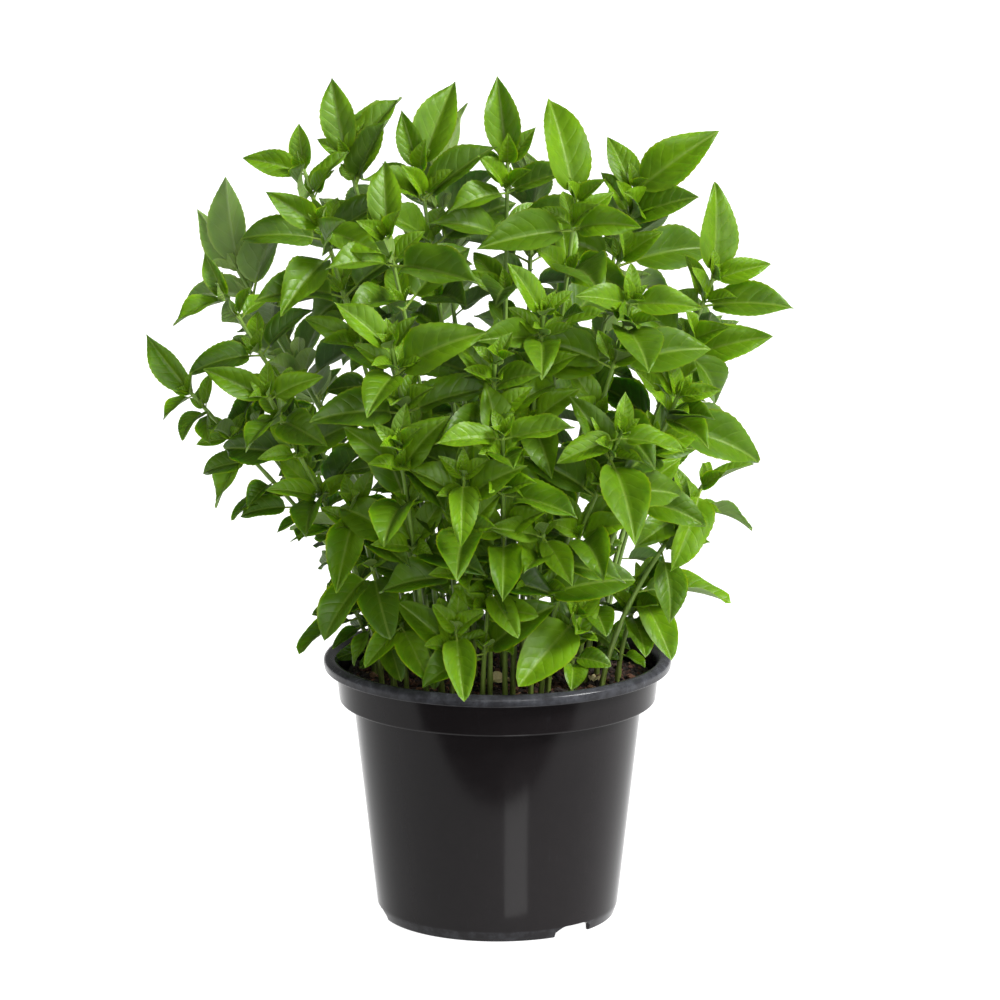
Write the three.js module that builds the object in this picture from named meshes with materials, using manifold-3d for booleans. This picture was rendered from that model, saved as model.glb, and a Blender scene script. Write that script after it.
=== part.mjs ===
// A potted basil plant: an injection-moulded nursery pot filled with potting soil, and a bush of leafy
// stems that stand in holes in the soil. Millimetres, +Z up, origin at the centre of the pot's base,
// -Y towards the viewer.
import * as THREE from "three";
import { mergeVertices } from "three/addons/utils/BufferGeometryUtils.js";
import Module from "manifold-3d";

const wasm = await Module();
wasm.setup();

const GAP = 0.3; // clearance between pieces that touch

// Nursery pot
const RIM_R = 70;
const POT_H = 107;
const WALL = 1.2;
const LIP_ROUND = 1.6;
const LIP_DEPTH = 5; // the rolled lip's skirt
const BAND_TOP_R = 65; // the upright band under the lip
const BAND_LOW_R = 63.6;
const BAND_DEPTH = 18.4; // from the crown to the ledge under the band
const BODY_TOP_R = 58;
const BODY_LOW_R = 48.5;
const FOOT_H = 4.15; // where the foot ring meets the body
const FOOT_R = 47;
const FOOT_W = 2;
const FLOOR_Z = 5; // underside of the raised floor, inside the foot ring
const PAD_R = 20; // the flat pad in the middle, which rests on the table
const POT_SIDES = 30;
const NOTCH_W = 18;
const NOTCH_H = 4.4;
const NOTCH_HEADINGS = [-50, 70, 190]; // degrees from +X, three round the foot
const NOTCH_OUTER_R = 54;
const NOTCH_DEPTH = 16;
const DRAIN_R = 4;
const DRAIN_RING_R = 33;
const DRAIN_COUNT = 6;
const DRAIN_L = 8;

// Soil
const SOIL_TOP = 96;
const SOIL_SIDES = 22;
const SOIL_SWELL = 1.2; // how far its surface rises and falls
const SOIL_RINGS = [18, 36, 52]; // radii of the rings of its surface
const BURIED = 22; // how far a stem stands in its hole
const HOLE_SIDES = 4;
const HOLE_L = 60;

// Stems: square in section, as basil's are
const STEM_LOW_R = 1.75;
const STEM_TIP_R = 1;
const SLIM_STEM = 0.7; // how thick a stem gets, of the full radius, as its leaves shrink to nothing
const BURIED_TAPER = 0.9;
const BUD_L = 1.2;
const START_LEAN = 0.12; // the curve leaves the soil almost upright
const START_RISE = 0.42;
const END_LEAN = 0.42; // and leans outwards towards its tip
const END_RISE = 0.34;
const STEM_STEPS = 4;
const CURVE_SAMPLES = 48;

// Leaf blades and their stalks
const BLADE_T = 0.7;
const STALK_R = 0.6;
const ROOT_R = 0.35; // a stalk is slimmer where it leaves its stem
const ROOT_OFF = 0.25; // where a stalk starts, off its stem's axis
const STALK_FLAT = 0.6; // its upper side lies this share of its radius above its middle
const STALK_END = -0.02; // where the stalk meets the blade, in blade lengths
const BLADE_WIDTH = 0.48; // widest part, as a share of the blade's length
const FOLD = 24; // degrees that each half rises from the midrib
const LARGE_CHORD = 40; // longer leaves get three cross sections, and short ones get one
const SMALL_CHORD = 21;
const LARGE_SECTIONS = [[0.17, 0.74], [0.42, 1], [0.74, 0.62]]; // place along the blade, and width
const MEDIUM_SECTIONS = [[0.3, 1], [0.68, 0.66]];
const SMALL_SECTION = [0.4, 1];
const LEAST_BEND = 6; // degrees
const TWIST_START = 0.3; // a blade's twist begins this far before it, on the stalk

// The leaf pairs of a stem, counted from its tip: where the pair stands below the tip, the reach from
// root to leaf tip, how far the pair rises from the stem's cross plane, its bend, and its stalk's share.
const PAIRS = [
  { below: 3, reach: 18, rise: 50, bend: 28, stalk: 0.12 },
  { below: 14, reach: 30, rise: 34, bend: 40, stalk: 0.14 },
  { below: 33, reach: 38, rise: 14, bend: 50, stalk: 0.2 },
  { below: 56, reach: 37, rise: 0, bend: 54, stalk: 0.24 },
];
const CLOSE_PAIRS = 0.55; // how near the tip the pairs stand as a stem's leaves shrink to nothing
const BACK_HALF_Y = 28; // behind this the blades face the back
const FACE_OUT = 0.006; // how much a blade faces outwards for each mm off the middle
const FACE_SIDE = 1;
const FACE_UP = 0.8;
const SEED = 20117;
const HEADING_JITTER = 15; // degrees either way
const RISE_JITTER = 10;
const REACH_JITTER = 0.1;
const ROLL_JITTER = 20;
const BEND_JITTER = 14;

// How a leaf is bent clear of what it would cross: turned about the stem and raised or lowered, by
// these degrees in turn, first at its full size and then smaller.
const TURNS = [
  [0, 0], [10, 0], [-10, 0], [0, 10], [0, -10], [18, 8], [-18, 8], [18, -8], [-18, -8], [0, 22],
  [0, -22], [32, 0], [-32, 0], [30, 20], [-30, 20], [30, -20], [-30, -20], [48, 0], [-48, 0],
  [0, 36], [0, -36], [45, 28], [-45, 28], [45, -28], [-45, -28],
];
const SHRINKS = [1, 0.86, 0.72];
const SIBLING_CUT = 0.3; // mm3 that two leaves of one stem may share, at their roots
const TEST_SPARE = 0.05; // more than the gap, so that a leaf that just clears another stays clear

// The leafy stems. root is where it leaves the soil and tip is its top; turn is the heading of the
// first leaf pair in degrees, size scales its leaves, pairs counts them. set holds the leaves whose
// tips are placed by hand, each as pair, side, x, y, z, and the rule places the others. A sixth value of
// 1 turns the blade level, so that the front sees its edge.
const SHOOTS = [
  { name: "stem_far_left", root: [-42, -6], tip: [-122, -20, 219], turn: 60, size: 0.66, pairs: 3,
    set: [[1, 0, -139, -16, 241], [1, 1, -132, -30, 209], [2, 0, -113, -34, 200], [2, 1, -124, -40, 203],
      [3, 0, -115, -36, 204]] },
  { name: "stem_left_wing", root: [-38, 4], tip: [-108, -10, 256], turn: 10, size: 0.75, pairs: 4,
    set: [[1, 1, -128, -20, 245], [2, 0, -90, 6, 250], [1, 0, -116, -6, 272]] },
  { name: "stem_left_back", root: [-33, 22], tip: [-105, 32, 259], turn: 100, size: 0.95, pairs: 4,
    set: [[1, 0, -109, 30, 296], [2, 1, -84, 10, 282], [1, 1, -121, 46, 280]] },
  { name: "stem_top_left", root: [-26, 8], tip: [-77, 10, 303], turn: 0, size: 0.85, pairs: 4,
    set: [[1, 1, -101, 10, 307], [1, 0, -79, 15, 320], [2, 0, -59, 12, 309]] },
  { name: "stem_left_face", root: [-29, -16], tip: [-68, -45, 291], turn: 20, size: 0.95, pairs: 4,
    set: [[1, 1, -90, -48, 304], [1, 0, -45, -62, 282], [2, 0, -84, -66, 258]] },
  { name: "stem_top_two", root: [-17, 16], tip: [-60, 16, 308], turn: 80, size: 1, pairs: 4,
    set: [[1, 0, -66, 24, 337], [1, 1, -38, 24, 329], [2, 0, -43, 8, 323], [2, 1, -52, 30, 329]] },
  { name: "stem_mid_left", root: [-14, -22], tip: [-43, -50, 288], turn: 40, size: 1, pairs: 4,
    set: [[2, 0, -6, -76, 272], [2, 1, -66, -66, 282], [1, 0, -44, -36, 314]] },
  { name: "stem_top_three", root: [-9, 4], tip: [-31, 15, 303], turn: 15, size: 1, pairs: 4,
    set: [[1, 0, -17, 28, 335], [1, 1, -38, 18, 325], [2, 0, 0, 8, 312], [2, 1, -54, 0, 300]] },
  { name: "stem_top_mid", root: [2, 12], tip: [4, 15, 306], turn: -10, size: 1, pairs: 4,
    set: [[1, 1, 0, 22, 338], [2, 0, 30, 8, 302], [2, 1, -20, 0, 286]] },
  { name: "stem_top_right", root: [13, -12], tip: [31, -38, 300], turn: 150, size: 1, pairs: 4,
    set: [[1, 0, 20, -20, 336], [2, 0, -8, -48, 281], [3, 1, 40, -76, 268], [2, 1, 56, -50, 290]] },
  { name: "stem_right_top", root: [22, 10], tip: [55, 20, 294], turn: 10, size: 1, pairs: 4,
    set: [[1, 0, 88, 16, 317], [2, 0, 80, 6, 292], [1, 1, 44, 30, 312]] },
  { name: "stem_mid_right", root: [20, -25], tip: [52, -70, 266], turn: 10, size: 0.95, pairs: 4,
    set: [[1, 1, 26, -76, 269], [1, 0, 79, -76, 263], [2, 0, 58, -102, 243], [2, 1, 46, -92, 262]] },
  { name: "stem_right_wing", root: [35, -6], tip: [86, -10, 264], turn: 0, size: 1, pairs: 4,
    set: [[1, 1, 86, -4, 300], [1, 0, 108, -10, 268], [2, 0, 117, -20, 252], [2, 1, 68, -20, 258],
      [3, 1, 86, 6, 208]] },
  { name: "stem_right_back", root: [40, 10], tip: [76, 22, 226], turn: -15, size: 0.95, pairs: 4,
    set: [[1, 0, 110, 14, 234], [3, 1, 105, 24, 180]] },
  { name: "stem_right_face", root: [31, -20], tip: [71, -58, 226], turn: 60, size: 0.95, pairs: 4,
    set: [[1, 1, 57, -60, 243], [1, 0, 87, -62, 228], [2, 0, 82, -78, 208]] },
  { name: "stem_low_right", root: [17, -36], tip: [48, -80, 215], turn: 0, size: 1, pairs: 4,
    set: [[1, 1, 23, -86, 204], [1, 0, 72, -84, 208], [2, 0, 53, -106, 176], [2, 1, 28, -74, 228]] },
  { name: "stem_front_mid", root: [6, -28], tip: [18, -75, 262], turn: 30, size: 0.9, pairs: 4,
    set: [[1, 1, 4, -76, 281], [2, 0, 17, -101, 240], [2, 1, -9, -86, 252]] },
  { name: "stem_front_high", root: [-3, -36], tip: [-1, -90, 246], turn: 60, size: 0.85, pairs: 4,
    set: [] },
  { name: "stem_front_one", root: [3, -42], tip: [2, -96, 218], turn: 10, size: 0.95, pairs: 4,
    set: [[1, 0, 30, -104, 222], [1, 1, -24, -106, 216]] },
  { name: "stem_front_left", root: [-22, -32], tip: [-41, -80, 250], turn: 20, size: 1, pairs: 4,
    set: [[1, 1, -63, -78, 266], [2, 0, -4, -88, 256], [2, 1, -50, -104, 226]] },
  { name: "stem_left_low", root: [-46, -14], tip: [-90, -50, 224], turn: 160, size: 0.95, pairs: 4,
    set: [[1, 0, -115, -50, 234], [1, 1, -68, -56, 232], [2, 0, -98, -66, 204], [2, 1, -66, -74, 208]] },
  { name: "stem_left_hang", root: [-47, 9], tip: [-96, -6, 200], turn: 45, size: 1, pairs: 3,
    set: [[1, 1, -103, -26, 172], [3, 0, -106, -10, 164, 1]] },
  { name: "stem_front_low", root: [-12, -44], tip: [-13, -92, 201], turn: 80, size: 1, pairs: 4,
    set: [[1, 1, -14, -108, 176]] },
  { name: "stem_right_low", root: [41, -26], tip: [82, -22, 182], turn: 20, size: 0.95, pairs: 3,
    set: [[1, 1, 68, -40, 150], [1, 0, 102, -14, 188, 1], [2, 0, 101, -20, 162, 1], [2, 1, 54, -42, 160],
      [3, 0, 68, -36, 128], [3, 1, 58, -8, 140]] },
  { name: "stem_fill_left", root: [-28, -38], tip: [-38, -88, 212], turn: 70, size: 1, pairs: 4,
    set: [] },
  { name: "stem_heart_left", root: [-41, -25], tip: [-56, -50, 180], turn: 20, size: 1, pairs: 3,
    set: [[1, 1, -63, -68, 148], [2, 1, -82, -36, 166, 1], [2, 0, -30, -64, 160], [3, 0, -68, -56, 126],
      [3, 1, -42, -62, 128]] },
  { name: "stem_front_inner", root: [13, -46], tip: [18, -72, 174], turn: 0, size: 1, pairs: 3,
    set: [[1, 0, 29, -90, 156], [1, 1, -4, -84, 178], [2, 0, 50, -76, 154]] },
  { name: "stem_low_mid", root: [-6, -48], tip: [-3, -64, 150], turn: 30, size: 0.95, pairs: 3,
    set: [[1, 0, 8, -80, 133]] },
  { name: "stem_rim_front", root: [-18, -45], tip: [-16, -64, 133], turn: 70, size: 1, pairs: 2,
    set: [[1, 1, -13, -86, 109]] },
  { name: "stem_rim_left", root: [-36, -33], tip: [-38, -48, 132], turn: 30, size: 0.9, pairs: 2,
    set: [[1, 0, -27, -68, 113], [1, 1, -52, -60, 116]] },
  { name: "stem_rim_right", root: [29, -36], tip: [31, -44, 134], turn: 10, size: 0.95, pairs: 2,
    set: [[1, 1, 1, -60, 109]] },
  { name: "stem_right_edge", root: [48, -8], tip: [57, -12, 138], turn: -20, size: 0.9, pairs: 2,
    set: [[1, 0, 93, -14, 131, 1], [1, 1, 69, -32, 112], [2, 0, 52, -36, 119], [2, 1, 44, 8, 122]] },
  { name: "stem_left_edge", root: [-49, 1], tip: [-60, -8, 134], turn: 200, size: 0.8, pairs: 2,
    set: [[2, 0, -79, -22, 112, 1]] },
  { name: "stem_back_one", root: [-20, 32], tip: [-60, 62, 272], turn: 30, size: 1, pairs: 4,
    set: [[2, 0, -86, 60, 266]] },
  { name: "stem_back_two", root: [-6, 28], tip: [-24, 50, 290], turn: 70, size: 1, pairs: 3,
    set: [[1, 0, -12, 60, 321]] },
  { name: "stem_back_three", root: [10, 28], tip: [14, 54, 290], turn: 10, size: 1, pairs: 3, set: [] },
  { name: "stem_back_four", root: [26, 30], tip: [50, 62, 274], turn: 50, size: 1, pairs: 4, set: [] },
  { name: "stem_back_five", root: [42, 26], tip: [84, 54, 228], turn: 0, size: 0.95, pairs: 3,
    set: [[3, 1, 92, 40, 183]] },
  { name: "stem_back_six", root: [-36, 33], tip: [-86, 66, 224], turn: 80, size: 0.95, pairs: 3, set: [] },
  { name: "stem_back_seven", root: [12, 46], tip: [28, 94, 240], turn: 20, size: 1, pairs: 4, set: [] },
  { name: "stem_back_eight", root: [-10, 46], tip: [-28, 96, 234], turn: 60, size: 1, pairs: 4, set: [] },
];

// Dried leaf scraps on the soil: place, heading and length
const SCRAPS = [
  { name: "dry_leaf_1", at: [-7, -13], heading: 15, length: 15 },
  { name: "dry_leaf_2", at: [23, -3], heading: 165, length: 13 },
  { name: "dry_leaf_3", at: [38, -10], heading: 80, length: 9 },
];

const SCRAP_DROP = 8; // where each starts above the soil, before it is let down
const SCRAP_STEP = 0.05;
const SCRAP_BEND = 30;
const SCRAP_ROLL = 8;
const SCRAP_STALK = 0.1;

const COLOURS = { pot: 0x303032, soil: 0x2a1d15, leaf: 0x4d7f14, dry: 0xc8b878 };
const ROUGHNESS = { pot: 0.42, soil: 0.95, leaf: 0.55, dry: 0.8 };

const rad = THREE.MathUtils.degToRad;

// A number from 0 to 1 that depends only on the seed and the keys.
function draw(...keys) {
  let state = SEED;
  for (const key of keys) state = (state * 16807 + key * 7919 + 11) % 2147483647;
  return ((state * 16807) % 2147483647) / 2147483647;
}

// The same, from -1 to 1.
function swing(...keys) {
  return 2 * draw(...keys) - 1;
}

// A closed geometry as a manifold-3d solid that faces outwards.
function solid(geometry) {
  const bare = new THREE.BufferGeometry();
  bare.setAttribute("position", geometry.getAttribute("position"));
  if (geometry.index) bare.setIndex(geometry.index);
  const merged = mergeVertices(bare, 1e-4);
  const corners = merged.index.array;
  const kept = [];
  for (let i = 0; i < corners.length; i += 3) {
    const [a, b, c] = corners.slice(i, i + 3);
    if (a !== b && b !== c && c !== a) kept.push(a, b, c);
  }
  const build = (triangles) =>
    new wasm.Manifold(
      new wasm.Mesh({
        numProp: 3,
        vertProperties: new Float32Array(merged.attributes.position.array),
        triVerts: new Uint32Array(triangles),
      }),
    );
  const made = build(kept);
  return made.volume() > 0 ? made : build(kept.reverse());
}

// A solid as a named mesh with its own material.
function meshOf(made, name, color, roughness) {
  const data = made.getMesh();
  const geometry = new THREE.BufferGeometry();
  geometry.setAttribute("position", new THREE.BufferAttribute(data.vertProperties, 3));
  geometry.setIndex(new THREE.BufferAttribute(data.triVerts, 1));
  const mesh = new THREE.Mesh(geometry, new THREE.MeshStandardMaterial({ color, roughness, metalness: 0 }));
  mesh.name = name;
  return mesh;
}

// A profile of radius and height, from axis to axis, turned about the Z axis.
function turned(profile, sides) {
  const points = profile.map(([r, z]) => new THREE.Vector2(r, z));
  return new THREE.LatheGeometry(points, sides).rotateX(Math.PI / 2);
}

// A closed skin over rings of points. Rings of 3 and 6 points follow the leaf's order of corners, and
// a ring of 1 closes the end.
function loft(rings) {
  const points = rings.flat();
  const faces = [];
  let start = 0;
  const first = rings[0].length;
  for (let i = 2; i < first; i++) faces.push(0, i, i - 1);
  for (let k = 0; k + 1 < rings.length; k++) {
    const n = rings[k].length;
    const m = rings[k + 1].length;
    const next = start + n;
    if (m === 1) {
      for (let i = 0; i < n; i++) faces.push(start + i, start + ((i + 1) % n), next);
    } else if (n === m) {
      for (let i = 0; i < n; i++) {
        const j = (i + 1) % n;
        // the two faces of a blade are split alike, from the midrib outwards
        if (n === 6 && (i === 0 || i === 4)) {
          faces.push(start + i, start + j, next + i, start + j, next + j, next + i);
        } else {
          faces.push(start + i, start + j, next + j, start + i, next + j, next + i);
        }
      }
    } else {
      // from a stalk's left, right and lower corners to a blade's six
      const [L, R, M] = [start, start + 1, start + 2];
      const [LT, MT, RT, RB, MB, LB] = [0, 1, 2, 3, 4, 5].map((i) => next + i);
      faces.push(L, MT, LT, L, R, MT, R, RT, MT, R, RB, RT);
      faces.push(R, MB, RB, R, M, MB, M, LB, MB, M, L, LB, L, LT, LB);
    }
    start = next;
  }
  const geometry = new THREE.BufferGeometry();
  geometry.setAttribute("position", new THREE.Float32BufferAttribute(points.flatMap((p) => p.toArray()), 3));
  geometry.setIndex(faces);
  return geometry;
}

// A stem: straight in the soil, then one cubic curve from the soil to its tip.
function stemOf(shoot) {
  const root = new THREE.Vector3(shoot.root[0], shoot.root[1], SOIL_TOP);
  const tip = new THREE.Vector3(...shoot.tip);
  const rise = tip.z - root.z;
  const out = new THREE.Vector3(tip.x - root.x, tip.y - root.y, 0);
  const low = root.clone().addScaledVector(out, START_LEAN);
  low.z += START_RISE * rise;
  const lean = out.clone().multiplyScalar(END_LEAN);
  lean.z = END_RISE * rise;
  const high = tip.clone().sub(lean);
  const curve = new THREE.CubicBezierCurve3(root, low, high, tip);
  const points = [];
  for (let i = 0; i <= CURVE_SAMPLES; i++) points.push(curve.getPoint(i / CURVE_SAMPLES));
  const lengths = [0];
  for (let i = 1; i <= CURVE_SAMPLES; i++) {
    lengths.push(lengths[i - 1] + points[i].distanceTo(points[i - 1]));
  }
  const length = lengths[CURVE_SAMPLES];

  // the point and direction at a distance along the curve from the soil
  function at(distance) {
    const want = THREE.MathUtils.clamp(distance, 0, length);
    let i = 1;
    while (i < CURVE_SAMPLES && lengths[i] < want) i++;
    const share = (want - lengths[i - 1]) / (lengths[i] - lengths[i - 1]);
    const point = points[i - 1].clone().lerp(points[i], share);
    const along = points[i].clone().sub(points[i - 1]).normalize();
    return { point, along };
  }
  return { at, length, root };
}

// Two directions across a stem: the first is nearest to +X.
function across(along) {
  const first = new THREE.Vector3(1, 0, 0).addScaledVector(along, -along.x).normalize();
  return [first, along.clone().cross(first)];
}

function square(point, along, radius, turn) {
  const [first, second] = across(along);
  return [0, 1, 2, 3].map((i) => {
    const angle = rad(turn + 45 + 90 * i);
    return point
      .clone()
      .addScaledVector(first, radius * Math.cos(angle))
      .addScaledVector(second, radius * Math.sin(angle));
  });
}

function stemSolid(stem, shoot) {
  const up = new THREE.Vector3(0, 0, 1);
  const deep = stem.root.clone().setZ(SOIL_TOP - BURIED);
  const thick = STEM_LOW_R * THREE.MathUtils.lerp(SLIM_STEM, 1, shoot.size);
  const rings = [
    square(deep, up, thick * BURIED_TAPER, shoot.turn),
    square(stem.root, up, thick, shoot.turn),
  ];
  for (let i = 1; i <= STEM_STEPS; i++) {
    const share = i / STEM_STEPS;
    const { point, along } = stem.at(share * stem.length);
    rings.push(square(point, along, thick + (STEM_TIP_R - thick) * share, shoot.turn));
  }
  const { point, along } = stem.at(stem.length);
  rings.push([point.clone().addScaledVector(along, BUD_L)]);
  return solid(loft(rings));
}

// Where a leaf's midrib runs. It starts at root, and its tip lies at root + reach. The stalk is straight
// and the blade bends in an arc away from its upper side, which faces as near to up as it can.
function midrib({ root, reach, up, bend, stalk, roll }) {
  const angle = rad(Math.max(bend, LEAST_BEND));
  const forward = stalk + Math.sin(angle) / angle;
  const drop = (1 - Math.cos(angle)) / angle;
  const chord = reach.length();
  const length = chord / Math.hypot(forward, drop);
  const lift = Math.atan2(drop, forward);
  const straight = reach.clone().divideScalar(chord);
  const above = up.clone().addScaledVector(straight, -up.dot(straight)).normalize();
  const start = straight.clone().multiplyScalar(Math.cos(lift)).addScaledVector(above, Math.sin(lift));
  const normal = above.clone().multiplyScalar(Math.cos(lift)).addScaledVector(straight, -Math.sin(lift));
  const side = normal.clone().cross(start);

  // the place and directions at a share of the blade's length; below 0 it is on the stalk
  function at(share) {
    const turn = angle * Math.max(share, 0);
    const run = share < 0 ? stalk * (1 + share) : stalk + Math.sin(turn) / angle;
    const fall = share < 0 ? 0 : (1 - Math.cos(turn)) / angle;
    const point = root.clone().addScaledVector(start, length * run).addScaledVector(normal, -length * fall);
    const along = start.clone().multiplyScalar(Math.cos(turn)).addScaledVector(normal, -Math.sin(turn));
    const over = start.clone().multiplyScalar(Math.sin(turn)).addScaledVector(normal, Math.cos(turn));
    const twist = rad(roll) * THREE.MathUtils.clamp(share + TWIST_START, 0, 1);
    const left = side.clone().multiplyScalar(Math.cos(twist)).addScaledVector(over, Math.sin(twist));
    const top = along.clone().cross(left).negate();
    if (top.dot(over) < 0) top.negate();
    return { point, along, left, top };
  }
  return { at, length, chord };
}

// One leaf as a solid. spare makes it thicker and wider all round, to test what it would touch.
function leafSolid(leaf, spare = 0) {
  const rib = midrib(leaf);
  const half = (rib.length * BLADE_WIDTH) / 2;
  const fold = rad(FOLD);

  function blade(share, width) {
    const { point, left, top } = rib.at(share);
    const w = half * width + spare;
    const thick = BLADE_T / 2 + spare;
    const edge = (side, face) =>
      point
        .clone()
        .addScaledVector(left, side * w * Math.cos(fold))
        .addScaledVector(top, w * Math.sin(fold) + face * thick);
    const middle = (face) => point.clone().addScaledVector(top, face * thick);
    return [edge(1, 1), middle(1), edge(-1, 1), edge(-1, -1), middle(-1), edge(1, -1)];
  }

  function stalk(share, radius) {
    const { point, left, top } = rib.at(share);
    const r = radius + spare;
    return [
      point.clone().addScaledVector(left, r).addScaledVector(top, r * STALK_FLAT),
      point.clone().addScaledVector(left, -r).addScaledVector(top, r * STALK_FLAT),
      point.clone().addScaledVector(top, -r),
    ];
  }

  const rings = [stalk(-1, ROOT_R)];
  if (rib.chord > SMALL_CHORD) {
    const sections = rib.chord > LARGE_CHORD ? LARGE_SECTIONS : MEDIUM_SECTIONS;
    rings.push(stalk(STALK_END, STALK_R), ...sections.map((section) => blade(...section)));
  } else {
    const [left, , right, , low] = blade(...SMALL_SECTION);
    rings.push([left, right, low]);
  }
  rings.push([rib.at(1).point.addScaledVector(rib.at(1).along, spare)]);
  return solid(loft(rings));
}

// The way that blades turn their upper side at a point of the bush: up, outwards and to the open side,
// which is the front for the front half and the back for the rest.
function openSide(point) {
  const side = point.y < BACK_HALF_Y ? -1 : 1;
  return new THREE.Vector3(point.x * FACE_OUT, side * FACE_SIDE, FACE_UP).normalize();
}

// The leaves of one stem, each as what the rule or the hand-set list gives, before it is bent clear.
function leavesOf(shoot, index, stem) {
  const leaves = [];
  for (let pair = 1; pair <= shoot.pairs; pair++) {
    const rule = PAIRS[pair - 1];
    const below = rule.below * THREE.MathUtils.lerp(CLOSE_PAIRS, 1, shoot.size);
    const { point, along } = stem.at(stem.length - below);
    const [first, second] = across(along);
    for (const side of [0, 1]) {
      const set = shoot.set.find((row) => row[0] === pair && row[1] === side);
      const keys = [index, pair, side];
      const bend = rule.bend + BEND_JITTER * swing(...keys, 1);
      const roll = ROLL_JITTER * swing(...keys, 2);
      const up = set?.[5] ? new THREE.Vector3(0, 0, 1) : openSide(point);
      let reach;
      if (set) {
        reach = new THREE.Vector3(set[2], set[3], set[4]).sub(point);
      } else {
        const heading = rad(shoot.turn + 90 * (pair - 1) + 180 * side + HEADING_JITTER * swing(...keys, 3));
        const rise = rad(rule.rise + RISE_JITTER * swing(...keys, 4));
        const size = rule.reach * shoot.size * (1 + REACH_JITTER * swing(...keys, 5));
        reach = first
          .clone()
          .multiplyScalar(Math.cos(heading) * Math.cos(rise))
          .addScaledVector(second, Math.sin(heading) * Math.cos(rise))
          .addScaledVector(along, Math.sin(rise))
          .multiplyScalar(size);
      }
      leaves.push({ root: point, reach, up, bend, roll, stalk: rule.stalk, hand: Boolean(set), along });
    }
  }
  return leaves;
}

// The places that a leaf may take, in turn. Its stalk starts inside the stem, so that it is sunk in.
function* places(leaf) {
  const sideways = leaf.reach.clone().cross(leaf.along).normalize();
  for (const shrink of SHRINKS) {
    for (const [turn, raise] of TURNS) {
      const reach = leaf.reach
        .clone()
        .applyAxisAngle(sideways, rad(raise))
        .applyAxisAngle(leaf.along, rad(turn))
        .multiplyScalar(shrink);
      const flat = reach.clone().addScaledVector(leaf.along, -reach.dot(leaf.along)).normalize();
      yield { ...leaf, reach, root: leaf.root.clone().addScaledVector(flat, ROOT_OFF) };
    }
  }
}

function boxOf(made) {
  const { min, max } = made.boundingBox();
  return new THREE.Box3(new THREE.Vector3(...min), new THREE.Vector3(...max));
}

// Whether a solid cuts more than the allowed volume out of any other.
function touches(test, others, allowed) {
  const box = boxOf(test);
  const near = others.filter((other) => box.intersectsBox(other.box));
  return near.some((other) => test.intersect(other.made).volume() > allowed);
}

// Potting soil: its surface's height
function soilHeight(x, y) {
  const broad = Math.sin(x * 0.13 + 1) * Math.cos(y * 0.11);
  const small = 0.5 * Math.sin(y * 0.21 + x * 0.07);
  return SOIL_TOP + SOIL_SWELL * (broad + small);
}

function potSolid() {
  const ledge = POT_H - BAND_DEPTH;
  const lipLow = POT_H - LIP_DEPTH;
  const footInner = FOOT_R - FOOT_W;
  const floorTop = FLOOR_Z + WALL;
  const profile = [
    [0, 0],
    [PAD_R, 0],
    [PAD_R + 1.2, FLOOR_Z],
    [footInner, FLOOR_Z],
    [footInner + 0.4, 0],
    [FOOT_R, 0],
    [BODY_LOW_R, FOOT_H],
    [BODY_TOP_R, ledge - 0.4],
    [BAND_LOW_R, ledge + 0.2],
    [BAND_TOP_R, lipLow + 0.9],
    [RIM_R - 0.4, lipLow],
    [RIM_R, POT_H - LIP_ROUND],
    [RIM_R - 2, POT_H],
    [BAND_TOP_R + 0.4, POT_H - 0.6],
    [BAND_TOP_R - WALL - 0.4, POT_H - 3.4],
    [BAND_LOW_R - WALL, ledge + 1.6],
    [BODY_TOP_R - WALL, ledge + 0.6],
    [BODY_LOW_R - WALL + 0.2, floorTop + 1.6],
    [BODY_LOW_R - WALL - 1.6, floorTop],
    [PAD_R + 2.4, floorTop],
    [PAD_R + 1.2, WALL],
    [0, WALL],
  ];
  let pot = solid(turned(profile, POT_SIDES));
  const arch = new THREE.Shape();
  arch.moveTo(-NOTCH_W / 2, -1);
  arch.lineTo(-NOTCH_W / 2, NOTCH_H * 0.5);
  arch.quadraticCurveTo(-NOTCH_W / 2, NOTCH_H, -NOTCH_W / 4, NOTCH_H);
  arch.lineTo(NOTCH_W / 4, NOTCH_H);
  arch.quadraticCurveTo(NOTCH_W / 2, NOTCH_H, NOTCH_W / 2, NOTCH_H * 0.5);
  arch.lineTo(NOTCH_W / 2, -1);
  for (const heading of NOTCH_HEADINGS) {
    const depth = NOTCH_DEPTH;
    const notch = new THREE.ExtrudeGeometry(arch, { depth, bevelEnabled: false, curveSegments: 2 });
    notch.rotateX(Math.PI / 2);
    notch.translate(0, NOTCH_OUTER_R, 0);
    notch.rotateZ(rad(heading - 90));
    pot = pot.subtract(solid(notch));
  }
  for (let i = 0; i < DRAIN_COUNT; i++) {
    const drain = new THREE.CylinderGeometry(DRAIN_R, DRAIN_R, DRAIN_L, 8);
    drain.rotateX(Math.PI / 2);
    drain.translate(DRAIN_RING_R, 0, FLOOR_Z);
    drain.rotateZ(rad((360 / DRAIN_COUNT) * i));
    pot = pot.subtract(solid(drain));
  }
  return pot;
}

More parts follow.
